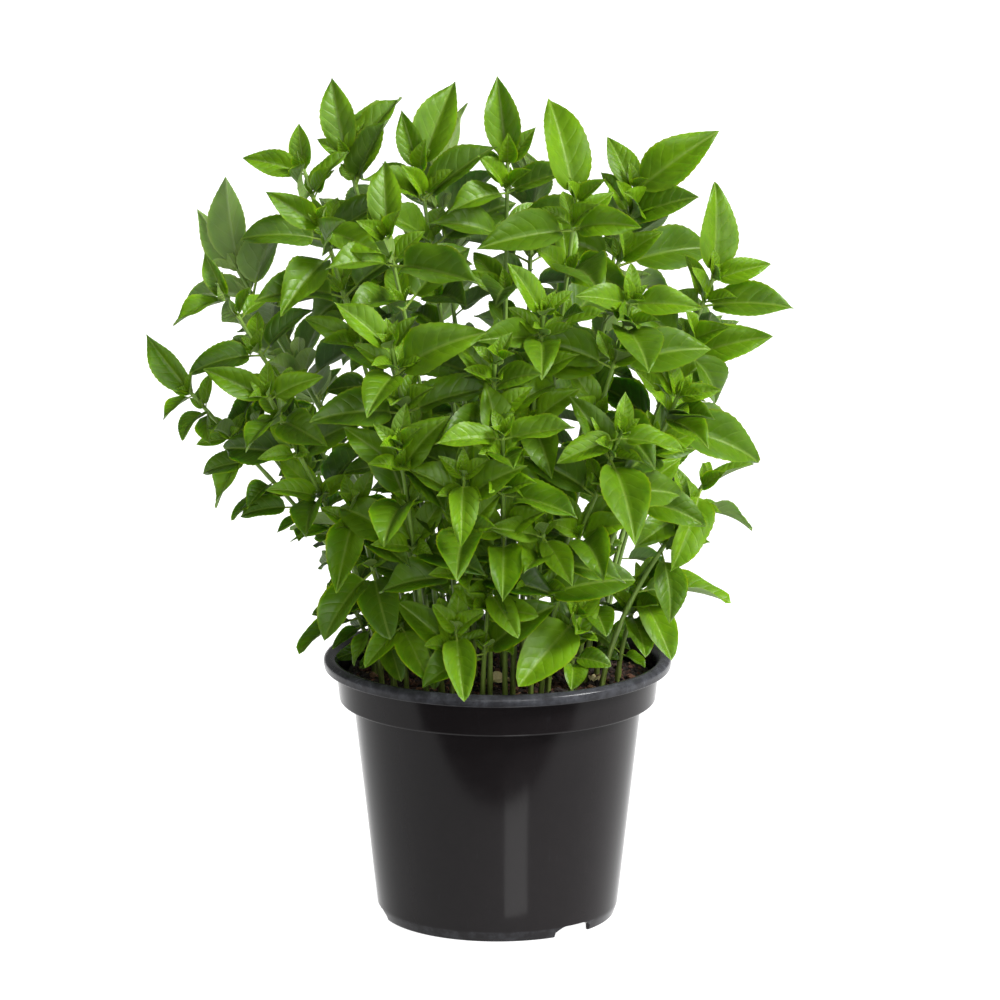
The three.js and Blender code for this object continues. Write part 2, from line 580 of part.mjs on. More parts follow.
function soilSolid() {
  const ledge = POT_H - BAND_DEPTH;
  const floorTop = FLOOR_Z + WALL + GAP;
  const lowR = BODY_LOW_R - WALL - GAP;
  const topR = BODY_TOP_R - WALL - GAP;
  const inside = BAND_LOW_R - WALL - GAP - 0.1;
  const profile = [
    [0, WALL + GAP],
    [PAD_R + 0.4, WALL + GAP],
    [PAD_R + 2, floorTop],
    [lowR - 1.5, floorTop],
    [lowR, floorTop + 2],
    [topR - 0.3, ledge + 0.7],
    [inside - 0.4, ledge + 2.6],
    [inside, SOIL_TOP],
    ...SOIL_RINGS.toReversed().map((r) => [r, SOIL_TOP]),
    [0, SOIL_TOP],
  ];
  const geometry = turned(profile, SOIL_SIDES);
  const place = geometry.getAttribute("position");
  for (let i = 0; i < place.count; i++) {
    const [x, y, z] = [place.getX(i), place.getY(i), place.getZ(i)];
    if (z > SOIL_TOP - 0.1 && Math.hypot(x, y) < inside - 1) place.setZ(i, soilHeight(x, y));
  }
  return solid(geometry);
}

// A plain hole in the soil for a stem, a little wider and deeper than the stem.
function holeFor(shoot) {
  const radius = (STEM_LOW_R + GAP) / Math.cos(Math.PI / HOLE_SIDES);
  const hole = new THREE.CylinderGeometry(radius, radius, HOLE_L, HOLE_SIDES);
  hole.rotateX(Math.PI / 2);
  hole.translate(shoot.root[0], shoot.root[1], SOIL_TOP - BURIED - GAP + HOLE_L / 2);
  return solid(hole);
}

const plant = new THREE.Group();
plant.name = "potted_basil";

const pot = potSolid();
let soil = soilSolid();
for (const shoot of SHOOTS) soil = soil.subtract(holeFor(shoot));
plant.add(meshOf(pot, "pot", COLOURS.pot, ROUGHNESS.pot));
plant.add(meshOf(soil, "soil", COLOURS.soil, ROUGHNESS.soil));

const grown = SHOOTS.map((shoot, index) => {
  const stem = stemOf(shoot);
  const body = stemSolid(stem, shoot);
  const leaves = leavesOf(shoot, index, stem);
  return { name: shoot.name, own: shoot.name, leaves, made: body, box: boxOf(body) };
});
const fixed = [pot, soil].map((made) => ({ made, box: boxOf(made) }));
const blades = [];

// Hand-set leaves take their places first, and then the rule's.
for (const hand of [true, false]) {
  for (const own of grown) {
    for (const leaf of own.leaves.filter((each) => each.hand === hand)) {
      const others = [...fixed, ...grown, ...blades].filter((each) => each.own !== own.name);
      const siblings = blades.filter((each) => each.own === own.name);
      for (const place of places(leaf)) {
        if (touches(leafSolid(place, GAP + TEST_SPARE), others, 0)) continue;
        const made = leafSolid(place);
        if (touches(made, siblings, SIBLING_CUT)) continue;
        blades.push({ made, box: boxOf(made), own: own.name });
        break;
      }
    }
  }
}
for (const { name, made } of grown) {
  const leaves = blades.filter((each) => each.own === name);
  const whole = leaves.reduce((sum, leaf) => sum.add(leaf.made), made);
  plant.add(meshOf(whole, name, COLOURS.leaf, ROUGHNESS.leaf));
}

// Dried scraps: small curled blades, each let down until only the gap is left between it and the soil.
for (const scrap of SCRAPS) {
  const [x, y] = scrap.at;
  const reach = new THREE.Vector3(Math.cos(rad(scrap.heading)), Math.sin(rad(scrap.heading)), 0);
  reach.multiplyScalar(scrap.length);
  const up = new THREE.Vector3(0, 0, 1);
  const blade = { reach, up, bend: SCRAP_BEND, roll: SCRAP_ROLL, stalk: SCRAP_STALK };
  const at = (height) => ({ ...blade, root: new THREE.Vector3(x, y, SOIL_TOP + height) });
  let height = SCRAP_DROP;
  while (!touches(leafSolid(at(height - SCRAP_STEP), GAP), fixed, 0)) height -= SCRAP_STEP;
  plant.add(meshOf(leafSolid(at(height)), scrap.name, COLOURS.dry, ROUGHNESS.dry));
}

export default plant;
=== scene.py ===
"""A basil plant in a round nursery pot: moulded pot, potting mix, and a bush of leafy stems. Sizes in the
tables are millimetres, angles are degrees, and every mesh is made in metres."""

import math

import bmesh
import bpy
import numpy as np
from mathutils import Matrix, Vector, kdtree, noise


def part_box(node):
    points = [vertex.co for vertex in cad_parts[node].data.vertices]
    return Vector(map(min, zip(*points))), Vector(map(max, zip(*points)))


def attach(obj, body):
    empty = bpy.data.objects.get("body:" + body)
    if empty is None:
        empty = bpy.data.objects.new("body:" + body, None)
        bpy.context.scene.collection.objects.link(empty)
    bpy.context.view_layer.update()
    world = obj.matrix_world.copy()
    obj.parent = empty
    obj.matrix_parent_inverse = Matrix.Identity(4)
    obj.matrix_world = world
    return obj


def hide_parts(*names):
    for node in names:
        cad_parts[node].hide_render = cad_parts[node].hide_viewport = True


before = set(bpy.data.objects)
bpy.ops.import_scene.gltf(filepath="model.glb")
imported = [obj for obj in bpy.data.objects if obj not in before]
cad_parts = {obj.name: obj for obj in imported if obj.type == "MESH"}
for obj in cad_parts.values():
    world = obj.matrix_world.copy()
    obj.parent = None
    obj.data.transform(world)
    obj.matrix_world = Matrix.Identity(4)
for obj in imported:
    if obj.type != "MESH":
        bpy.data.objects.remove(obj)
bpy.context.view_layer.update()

MM = 0.001
WHOLE_TURN = 6.283  # radians
UP = Vector((0, 0, 1))

# Pot
RIM_R = 70
POT_H = 107
WALL = 1.2
BAND_DEPTH = 18.4
LEDGE, LIP = POT_H - BAND_DEPTH, POT_H - 5  # heights under the band and under the rolled rim
POT_SEGMENTS = 168
# its corners' radius, height and round, from the axis below, round the outside, to the axis inside
POT_PROFILE = (
    (0, 0, 0), (20, 0, 0.5), (21.2, 5, 0.8), (45, 5, 0.6), (45.4, 0, 0.3), (47, 0, 0.6), (48.5, 4.15, 0.9),
    (58, LEDGE - 0.4, 0.4), (63.6, LEDGE + 0.2, 0.8), (65, LIP + 0.9, 0.5), (69.6, LIP, 0.7),
    (RIM_R, POT_H - 1.6, 1.4), (68, POT_H, 1.2), (65.4, POT_H - 0.6, 1), (63.4, POT_H - 3.4, 1.4),
    (62.4, LEDGE + 1.6, 0.6), (56.8, LEDGE + 0.6, 0.8), (47.5, 7.8, 1.6), (45.7, 6.2, 0.8),
    (22.4, 6.2, 0.6), (21.2, WALL, 0.6), (0, WALL, 0),
)
MOST_ROUND = 0.4  # of the straight beside a corner
HOLDING = 1.15  # how far past a round its holding point lies, in rounds
NOTCH_HEADINGS = (-50, 70, 190)
NOTCH_W = 18
NOTCH_H = 4.4
NOTCH_RUN = (38, 54)  # from the axis, through the foot ring
DRAIN_R = 4
DRAIN_RING_R = 33
DRAIN_COUNT = 6
DRAIN_RUN = (1, 9)  # in height, through the raised floor
DRAIN_SEGMENTS = 24
SHARP_FROM = 50

# Potting mix
SOIL_TOP = 96
SOIL_SWELL = 1.2
SOIL_R = 62
SOIL_RINGS = 46
SOIL_SEGMENTS = 150
LUMPS = ((1.1, 0, 0.16), (0.7, 9, 0.45))  # height, where in the noise, and fineness
BANKED_FROM, BANK = 56, 1.2  # the mix rises to the pot's wall from this radius, by so much
SOIL_PROFILE = (
    (0, 1.5), (20.4, 1.5), (22, 6.5), (45.5, 6.5), (47, 8.5), (56.2, LEDGE + 0.7), (61.6, LEDGE + 2.6),
    (SOIL_R, SOIL_TOP - 1),
)
STREWN = (  # what lies on it: its name, how many to a square metre, size, and least and most thickness
    ("Crumb", 200000.0, 0.9, 0.7, 1.3),
    ("Chip", 42000.0, 1.5, 0.25, 1.7),
)
STREWN_SEED = 11

# Stems
STEM_LOW_R = 1.15
STEM_TIP_R = 0.72
SLIM_STEM = 0.7
STEM_STEPS = 64
SWELLING, SWELLING_RUN = 0.22, 2.2  # where leaves grow
BARE_NODES, BARE_NODE_STEP = 6, 26  # old nodes below the last leaf pair
BURIED = 22
START_LEAN, START_RISE, END_LEAN, END_RISE = 0.12, 0.42, 0.42, 0.34
CURVE_SAMPLES = 48

# Leaf pairs counted from a stem's tip: distance below it, reach, rise, bend and stalk's share
PAIRS = {
    1: (3, 18, 50, 28, 0.12),
    2: (14, 30, 34, 40, 0.14),
    3: (33, 38, 14, 50, 0.2),
    4: (56, 37, 0, 54, 0.24),
}
BUD_PAIRS = ((2.4, 15, 46, 30, 0.08), (1.2, 10.5, 62, 24, 0.07), (0.3, 6, 76, 16, 0.06))
AXIL_LEAVES = ((-54, 34, 17), (54, 34, 17), (-8, 66, 9))  # in each axil: turn, rise and reach
AXIL_RISE = 1.5  # above the leaf pair's own node
AXIL_SIZE, AXIL_GROWTH = 0.75, 0.13  # the older the pair, the larger they are
LOW_START, LOW_STEP, LOW_END = 13, 14, 8  # small leaves along the stem, from the soil to below the pairs
LOW_UNEVEN = 0.25
LOW_RISE, LOW_REACH, LOW_GROWTH, LOW_MORE = 8, 14, 0.13, 5  # they reach further higher up, to a limit
AXIL_MISSING, LOW_MISSING = 0.12, 0.3  # as a share
CLOSE_PAIRS = 0.55
YOUNG_LEAST = 0.4  # how small the bud and axil leaves of a small stem are

# How leaves are formed: pair, for width and age, stalk's share and bend
AXIL_FORM, LOW_FORM, SET_FORM = (0, 0.16, 34), (5, 0.22, 44), (5, 0.2, 36)
SWINGS = {  # the most that a draw adds to the bend, roll, heading, rise and reach
    "pair": (14, 20, 15, 10, 0.1), "bud": (0, 10, 15, 10, 0.2), "axil": (16, 26, 20, 16, 0.3),
    "low": (18, 26, 35, 24, 0.3), "set": (12, 16, 0, 0, 0),
}
BLADE_WIDTH = 0.57
WIDER, WIDTH_JITTER = 0.05, 0.06  # with each older pair, and from leaf to leaf
FOLD, FOLD_JITTER = 34, 8
AGES = (1.1, 0.8, 0.5, 0.25, 0.1, 0.2)  # by pair: 1 is young
AGE_JITTER = 0.16
WAVES, MORE_WAVES, WAVE, MORE_WAVE = 7, 4, 0.018, 0.035  # at the blade's edge: how many and how high
LEAST_GIRTH, MOST_GIRTH, GIRTH_REACH = 0.35, 1.15, 55  # of the stalk, which grows with the leaf's reach
LARGE_LEAF = 21  # reach from which a leaf is made with its veins' quilting
VEIN_STEP = 0.155  # between side veins, as a share of the leaf's length
VEIN_LEAN, VEIN_ARCH = 0.2, 0.1
BLADE_HALF, GROOVE, RIB, RIB_W = 0.15, 0.16, 0.5, 0.12  # half thickness, and the midrib above and below
STALK_RINGS = ((-1, 0.8), (-0.88, 0.55), (-0.5, 0.47), (-0.15, 0.5), (0.05, 0.42), (0.16, 0.2))
STALK_SIDES = 6
STALK_FLAT, STALK_SUNK = 0.85, -0.25
ROOT_OFF = 0.25
BACK_HALF_Y = 28
FACE_OUT, FACE_SIDE, FACE_UP = 0.006, 1, 0.8
SEED = 20117
LEAST_BEND = 6
TWIST_START = 0.3
TURNS = (
    (0, 0), (10, 0), (-10, 0), (0, 10), (0, -10), (18, 8), (-18, 8), (18, -8), (-18, -8), (0, 22),
    (0, -22), (32, 0), (-32, 0), (30, 20), (-30, 20), (30, -20), (-30, -20), (48, 0), (-48, 0),
    (0, 36), (0, -36), (45, 28), (-45, 28), (45, -28), (-45, -28),
)
SHRINKS = (1, 0.86, 0.72)
TIP_FOUND = 0.03  # between a leaf's tip and its solid's
SCRAP_WAVE, SCRAP_FOLD = 1.1, 26  # how a dried leaf has curled

# Studio
FLOOR = ((-9000, -9000), (9000, -9000), (9000, 9000), (-9000, 9000))
# outline of a strip on the floor that glows though it is no lamp: a painted highlight in the pot's wall
STRIP = ((5, -67.5), (15, -163), (67, -163), (22.9, -67.5))
# outline of a dark sheet beyond it: painted shade in the pot's reflection
DARK = ((-500, -900), (500, -900), (500, -163), (-500, -163))
LIT_TABLE = 1.02
LIT_STRIP = 2.4
SUNS = (("key", 5.2, 22, 66, 40), ("fill", 1.35, 45, 4, 7), ("back", 0.3, 50, 165, 55))
ROOM_LIGHT = 0.2
PANEL_SIZE, PANEL_WATTS = (220, 1100), 9
PANEL_PLACE, PANEL_AIM = Vector((620, -1900, 580)), Vector((0, 0, 70))
CAMERA_PLACE = Vector((1.005, -2717.386, 784.935))
CAMERA_DOWN = 12.75
FOCAL_PX, PICTURE_PX, SENSOR = 6966, 1000, 36

# Each leafy stem: name, root on the soil, tip, heading of its first pair, leaf size, pairs, and the
# leaves given one by one as pair, side, x, y, z of the leaf's tip. A sixth value of 1 turns the blade level.
SHOOTS = [
    ("far_left", (-42, -6), (-122, -20, 219), 60, 0.66, 3, [
        (1, 0, -139, -16, 241), (1, 1, -132, -30, 209), (2, 0, -113, -34, 200), (2, 1, -124, -40, 203),
        (3, 0, -115, -36, 204)]),
    ("left_wing", (-38, 4), (-108, -10, 256), 10, 0.75, 4, [
        (1, 1, -128, -20, 245), (2, 0, -90, 6, 250), (1, 0, -116, -6, 272)]),
    ("left_back", (-33, 22), (-105, 32, 259), 100, 0.95, 4, [
        (1, 0, -109, 30, 296), (2, 1, -84, 10, 282), (1, 1, -121, 46, 280)]),
    ("top_left", (-26, 8), (-77, 10, 303), 0, 0.85, 4, [
        (1, 1, -101, 10, 307), (1, 0, -79, 15, 320), (2, 0, -59, 12, 309)]),
    ("left_face", (-29, -16), (-68, -45, 291), 20, 0.95, 4, [
        (1, 1, -90, -48, 304), (1, 0, -45, -62, 282), (2, 0, -84, -66, 258)]),
    ("top_two", (-17, 16), (-60, 16, 308), 80, 1, 4, [
        (1, 0, -66, 24, 337), (1, 1, -38, 24, 329), (2, 0, -43, 8, 323), (2, 1, -52, 30, 329)]),
    ("mid_left", (-14, -22), (-43, -50, 288), 40, 1, 4, [
        (2, 0, -6, -76, 272), (2, 1, -66, -66, 282), (1, 0, -44, -36, 314)]),
    ("top_three", (-9, 4), (-31, 15, 303), 15, 1, 4, [
        (1, 0, -17, 28, 335), (1, 1, -38, 18, 325), (2, 0, 0, 8, 312), (2, 1, -54, 0, 300)]),
    ("top_mid", (2, 12), (4, 15, 306), -10, 1, 4, [
        (1, 1, 0, 22, 338), (2, 0, 30, 8, 302), (2, 1, -20, 0, 286)]),
    ("top_right", (13, -12), (31, -38, 300), 150, 1, 4, [
        (1, 0, 20, -20, 336), (2, 0, -8, -48, 281), (3, 1, 40, -76, 268), (2, 1, 56, -50, 290)]),
    ("right_top", (22, 10), (55, 20, 294), 10, 1, 4, [
        (1, 0, 88, 16, 317), (2, 0, 80, 6, 292), (1, 1, 44, 30, 312)]),
    ("mid_right", (20, -25), (52, -70, 266), 10, 0.95, 4, [
        (1, 1, 26, -76, 269), (1, 0, 79, -76, 263), (2, 0, 58, -102, 243), (2, 1, 46, -92, 262)]),
    ("right_wing", (35, -6), (86, -10, 264), 0, 1, 4, [
        (1, 1, 86, -4, 300), (1, 0, 108, -10, 268), (2, 0, 117, -20, 252), (2, 1, 68, -20, 258),
        (3, 1, 86, 6, 208)]),
    ("right_back", (40, 10), (76, 22, 226), -15, 0.95, 4, [
        (1, 0, 110, 14, 234), (3, 1, 105, 24, 180)]),
    ("right_face", (31, -20), (71, -58, 226), 60, 0.95, 4, [
        (1, 1, 57, -60, 243), (1, 0, 87, -62, 228), (2, 0, 82, -78, 208)]),
    ("low_right", (17, -36), (48, -80, 215), 0, 1, 4, [
        (1, 1, 23, -86, 204), (1, 0, 72, -84, 208), (2, 0, 53, -106, 176), (2, 1, 28, -74, 228)]),
    ("front_mid", (6, -28), (18, -75, 262), 30, 0.9, 4, [
        (1, 1, 4, -76, 281), (2, 0, 17, -101, 240), (2, 1, -9, -86, 252)]),
    ("front_high", (-3, -36), (-1, -90, 246), 60, 0.85, 4, []),
    ("front_one", (3, -42), (2, -96, 218), 10, 0.95, 4, [
        (1, 0, 30, -104, 222), (1, 1, -24, -106, 216)]),
    ("front_left", (-22, -32), (-41, -80, 250), 20, 1, 4, [
        (1, 1, -63, -78, 266), (2, 0, -4, -88, 256), (2, 1, -50, -104, 226)]),
    ("left_low", (-46, -14), (-90, -50, 224), 160, 0.95, 4, [
        (1, 0, -115, -50, 234), (1, 1, -68, -56, 232), (2, 0, -98, -66, 204), (2, 1, -66, -74, 208)]),
    ("left_hang", (-47, 9), (-96, -6, 200), 45, 1, 3, [
        (1, 1, -103, -26, 172), (3, 0, -106, -10, 164, 1)]),
    ("front_low", (-12, -44), (-13, -92, 201), 80, 1, 4, [
        (1, 1, -14, -108, 176)]),
    ("right_low", (41, -26), (82, -22, 182), 20, 0.95, 3, [
        (1, 1, 68, -40, 150), (1, 0, 102, -14, 188, 1), (2, 0, 101, -20, 162, 1), (2, 1, 54, -42, 160),
        (3, 0, 68, -36, 128), (3, 1, 58, -8, 140)]),
    ("fill_left", (-28, -38), (-38, -88, 212), 70, 1, 4, []),
    ("heart_left", (-41, -25), (-56, -50, 180), 20, 1, 3, [
        (1, 1, -63, -68, 148), (2, 1, -82, -36, 166, 1), (2, 0, -30, -64, 160), (3, 0, -68, -56, 126),
        (3, 1, -42, -62, 128)]),
    ("front_inner", (13, -46), (18, -72, 174), 0, 1, 3, [
        (1, 0, 29, -90, 156), (1, 1, -4, -84, 178), (2, 0, 50, -76, 154)]),
    ("low_mid", (-6, -48), (-3, -64, 150), 30, 0.95, 3, [
        (1, 0, 8, -80, 133)]),
    ("rim_front", (-18, -45), (-16, -64, 133), 70, 1, 2, [
        (1, 1, -13, -86, 109)]),
    ("rim_left", (-36, -33), (-38, -48, 132), 30, 0.9, 2, [
        (1, 0, -27, -68, 113), (1, 1, -52, -60, 116)]),
    ("rim_right", (29, -36), (31, -44, 134), 10, 0.95, 2, [
        (1, 1, 1, -60, 109)]),
    ("right_edge", (48, -8), (57, -12, 138), -20, 0.9, 2, [
        (1, 0, 93, -14, 131, 1), (1, 1, 69, -32, 112), (2, 0, 52, -36, 119), (2, 1, 44, 8, 122)]),
    ("left_edge", (-49, 1), (-60, -8, 134), 200, 0.8, 2, [
        (2, 0, -79, -22, 112, 1)]),
    ("back_one", (-20, 32), (-60, 62, 272), 30, 1, 4, [
        (2, 0, -86, 60, 266)]),
    ("back_two", (-6, 28), (-24, 50, 290), 70, 1, 3, [
        (1, 0, -12, 60, 321)]),
    ("back_three", (10, 28), (14, 54, 290), 10, 1, 3, []),
    ("back_four", (26, 30), (50, 62, 274), 50, 1, 4, []),
    ("back_five", (42, 26), (84, 54, 228), 0, 0.95, 3, [
        (3, 1, 92, 40, 183)]),
    ("back_six", (-36, 33), (-86, 66, 224), 80, 0.95, 3, []),
    ("back_seven", (12, 46), (28, 94, 240), 20, 1, 4, []),
    ("back_eight", (-10, 46), (-28, 96, 234), 60, 1, 4, []),
]

# Dried scraps on the soil: place, heading and length
SCRAPS = (("1", (-7, -13), 15, 15), ("2", (23, -3), 165, 13), ("3", (38, -10), 80, 9))

# Small leaves near the soil: their stem, how far up it they grow, the tip, and their width as a share of
# the usual one
LOW_LEAVES = (
    ("front_left", 24, (-25, -52, 105), 1.0), ("heart_left", 25, (-38, -47, 107), 1.15),
    ("left_low", 27, (-57, -30, 109), 0.8), ("left_low", 38, (-70, -30, 126), 1.0),
    ("heart_left", 40, (-48, -42, 124), 1.1), ("rim_left", 28, (-52, -46, 120), 1.05),
    ("fill_left", 40, (-27, -60, 128), 1.2), ("front_high", 30, (6, -60, 121), 1.0),
    ("right_face", 30, (25, -44, 117), 1.15), ("rim_right", 17, (29, -54, 105.5), 1.6),
    ("rim_right", 19, (45, -46, 113), 1.3), ("right_face", 38, (43, -46, 125), 1.3),
    ("right_edge", 29, (64, -26, 133), 1.5), ("right_edge", 26, (67, -24, 122), 1.2),
    ("left_edge", 24, (-66, -14, 112), 0.8), ("front_low", 26, (-20, -64, 116), 1.0),
    ("front_inner", 22, (21, -62, 112), 1.1), ("left_edge", 30, (-74, -22, 128), 0.9),
    ("left_hang", 87, (-105, -12, 167), 0.34), ("left_low", 72, (-82, -45, 163), 0.4),
    ("left_hang", 73, (-88, -15, 160), 0.7),
)
BARE_BELOW = 44  # up to here the stems in front carry no other small leaves
BARE_FRONT_Y = -12
BLUNT_BELOW = 152  # leaves that grow lower than this are blunt
BLUNT_REACH = 13

# Kinds of node: the type, and for some of them one setting and its value
MATH, VECTOR = "ShaderNodeMath operation ", "ShaderNodeVectorMath operation "
COMPARE = "FunctionNodeCompare operation "
TIMES, PLUS, MINUS, OVER = MATH + "MULTIPLY", MATH + "ADD", MATH + "SUBTRACT", MATH + "DIVIDE"
TIMES_PLUS, SINE, COSINE, UNSIGNED = MATH + "MULTIPLY_ADD", MATH + "SINE", MATH + "COSINE", MATH + "ABSOLUTE"
LEAST, MOST, FRACTION = MATH + "MINIMUM", MATH + "MAXIMUM", MATH + "FRACT"
ABOVE, BELOW, EQUAL = COMPARE + "GREATER_THAN", COMPARE + "LESS_THAN", COMPARE + "EQUAL"
SCALED, STRETCHED = VECTOR + "SCALE", VECTOR + "MULTIPLY"
MOVED, MOVED_BACK, DISTANCE = VECTOR + "ADD", VECTOR + "SUBTRACT", VECTOR + "LENGTH"
ROTATE, XYZ, HELD = "ShaderNodeVectorRotate", "ShaderNodeSeparateXYZ", "ShaderNodeAttribute"
NOISE, BUMP, RANGE = "ShaderNodeTexNoise", "ShaderNodeBump", "ShaderNodeMapRange"
EASED = RANGE + " interpolation_type SMOOTHSTEP"
MIX, MIX_A, MIX_B = "ShaderNodeMix data_type RGBA", 6, 7  # a colour mix, and its colours' sockets
POINT_HELD, RANDOM = "GeometryNodeInputNamedAttribute", "FunctionNodeRandomValue"
MATERIAL, JOIN = "GeometryNodeSetMaterial", "GeometryNodeJoinGeometry"
REALIZE, AT_POINTS = "GeometryNodeRealizeInstances", "GeometryNodeInstanceOnPoints"


def give(tree, node, *inputs):
    """Fills a node's inputs in order, or by name from one table. An input is a value, a socket to link from,
    or a node, which then gives its first output."""
    by_name = inputs and isinstance(inputs[0], dict)
    for key, value in inputs[0].items() if by_name else enumerate(inputs):
        if isinstance(value, bpy.types.Node):
            value = next(socket for socket in value.outputs if socket.enabled)
        if isinstance(value, bpy.types.NodeSocket):
            tree.links.new(value, node.inputs[key])
        else:
            node.inputs[key].default_value = value


def add(tree, kind, *inputs, **settings):
    """Adds one node, with its settings and then its inputs."""
    kind, *setting = kind.split()
    node = tree.nodes.new(kind)
    if setting:
        setattr(node, *setting)
    for name, value in settings.items():
        setattr(node, name, value)
    give(tree, node, *inputs)
    return node


def new_tree(name, inputs, output):
    """An empty tree of geometry nodes and its inputs, each given as name, type and value."""
    tree = bpy.data.node_groups.new(name, "GeometryNodeTree")
    for title, kind, value in inputs:
        socket = tree.interface.new_socket(title, in_out="INPUT", socket_type="NodeSocket" + kind)
        if value is not None:
            socket.default_value = value
    tree.interface.new_socket(output, in_out="OUTPUT", socket_type="NodeSocketGeometry")
    return tree, add(tree, "NodeGroupInput").outputs


def new_material(name):
    """A material, its tree, its shader, and the place on the piece that its patterns follow."""
    made = bpy.data.materials.new(name)
    made.use_nodes = True
    tree = made.node_tree
    place = add(tree, "ShaderNodeTexCoord").outputs["Object"]
    return made, tree, tree.nodes["Principled BSDF"], place


def new_mesh(name, verts, edges, faces):
    mesh = bpy.data.meshes.new(name)
    mesh.from_pydata(verts, edges, faces)
    return mesh


def placed(name, data):
    made = bpy.data.objects.new(name, data)
    bpy.context.scene.collection.objects.link(made)
    return made


def colour(hex_value):
    """An sRGB hex colour as linear RGBA."""
    channels = [int(hex_value[i : i + 2], 16) / 255 for i in (1, 3, 5)]
    linear = [c / 12.92 if c <= 0.04045 else ((c + 0.055) / 1.055) ** 2.4 for c in channels]
    return (*linear, 1)


def draw(*keys):
    """A number from 0 to 1 that depends only on the seed and the keys."""
    state = SEED
    for key in keys:
        state = (state * 16807 + key * 7919 + 11) % 2147483647
    return ((state * 16807) % 2147483647) / 2147483647


def swing(*keys):
    return 2 * draw(*keys) - 1


# How a stem runs and where its leaves grow


class StemLine:
    """One cubic curve from the soil to the stem's tip, measured along its length."""

    def __init__(self, root, tip):
        self.root = Vector((*root, SOIL_TOP))
        tip = Vector(tip)
        rise = tip.z - SOIL_TOP
        out = Vector((tip.x - root[0], tip.y - root[1], 0))
        low = self.root + out * START_LEAN + Vector((0, 0, START_RISE * rise))
        high = tip - out * END_LEAN - Vector((0, 0, END_RISE * rise))
        self.points = []
        for i in range(CURVE_SAMPLES + 1):
            t = i / CURVE_SAMPLES
            s = 1 - t
            self.points.append(self.root * s**3 + low * (3 * s * s * t) + high * (3 * s * t * t) + tip * t**3)
        self.lengths = [0.0]
        for before, after in zip(self.points, self.points[1:]):
            self.lengths.append(self.lengths[-1] + (after - before).length)
        self.length = self.lengths[-1]

    def at(self, distance):
        want = min(max(distance, 0), self.length)
        i = 1
        while i < CURVE_SAMPLES and self.lengths[i] < want:
            i += 1
        before, after = self.points[i - 1], self.points[i]
        share = (want - self.lengths[i - 1]) / (self.lengths[i] - self.lengths[i - 1])
        return before.lerp(after, share), (after - before).normalized()


def leaf_reach(along, heading, rise, size):
    """From a leaf's root to its tip, by its heading about the stem and its rise along it."""
    first = (Vector((1, 0, 0)) - along * along.x).normalized()
    flat = first * math.cos(heading) + along.cross(first) * math.sin(heading)
    return (flat * math.cos(rise) + along * math.sin(rise)) * size


def open_side(point):
    """The way that blades turn their upper side: up, outwards and to the open side of the bush."""
    side = -1 if point.y < BACK_HALF_Y else 1
    return Vector((point.x * FACE_OUT, side * FACE_SIDE, FACE_UP)).normalized()


def below_tip(pair, size):
    return PAIRS[pair][0] * (CLOSE_PAIRS + (1 - CLOSE_PAIRS) * size)


def leaf_at(line, distance, keys, kind, form, aim, **more):
    """One leaf at a distance along its stem. form is its pair, stalk's share and bend, and aim is its tip, or
    else its heading, rise and reach."""
    point, along = line.at(distance)
    pair, stalk, bend = form
    bent, rolled, turning, rising, longer = (most * swing(*keys, i) for i, most in enumerate(SWINGS[kind], 1))
    if isinstance(aim, Vector):
        reach = aim - point
    else:
        heading, rise, long = aim
        heading, rise = math.radians(heading + turning), math.radians(rise + rising)
        reach = leaf_reach(along, heading, rise, long * (1 + longer))
    return {
        "root": point, "along": along, "up": open_side(point), "reach": reach, "stalk": stalk, "pair": pair,
        "bend": bend + bent, "roll": rolled, "keys": keys, **more,
    }


def leaves_of(shoot, index, line):
    """One stem's large leaves, in opposite pairs, each pair across the next."""
    _, _, _, turn, size, pairs, hand = shoot
    tips = {row[:2]: Vector(row[2:5]) for row in hand}
    level = {row[:2] for row in hand if len(row) > 5}
    for pair in range(1, pairs + 1):
        _, long, rise, bend, stalk = PAIRS[pair]
        distance = line.length - below_tip(pair, size)
        for side in (0, 1):
            aim = tips.get((pair, side), (turn + 90 * (pair - 1) + 180 * side, rise, long * size))
            leaf = leaf_at(line, distance, (index, pair, side), "pair", (pair, stalk, bend), aim)
            yield {**leaf, "up": UP} if (pair, side) in level else leaf


def places(leaf):
    """The places that a leaf may take when it is bent clear of its neighbours, in turn."""
    sideways = leaf["reach"].cross(leaf["along"]).normalized()
    for shrink in SHRINKS:
        for turn, raised in TURNS:
            reach = turned(leaf["reach"], sideways, raised)
            reach = turned(reach, leaf["along"], turn) * shrink
            flat = (reach - leaf["along"] * reach.dot(leaf["along"])).normalized()
            yield {**leaf, "reach": reach, "root": leaf["root"] + flat * ROOT_OFF}


def turned(vector, axis, degrees):
    angle = math.radians(degrees)
    return (
        vector * math.cos(angle)
        + axis.cross(vector) * math.sin(angle)
        + axis * (axis.dot(vector) * (1 - math.cos(angle)))
    )


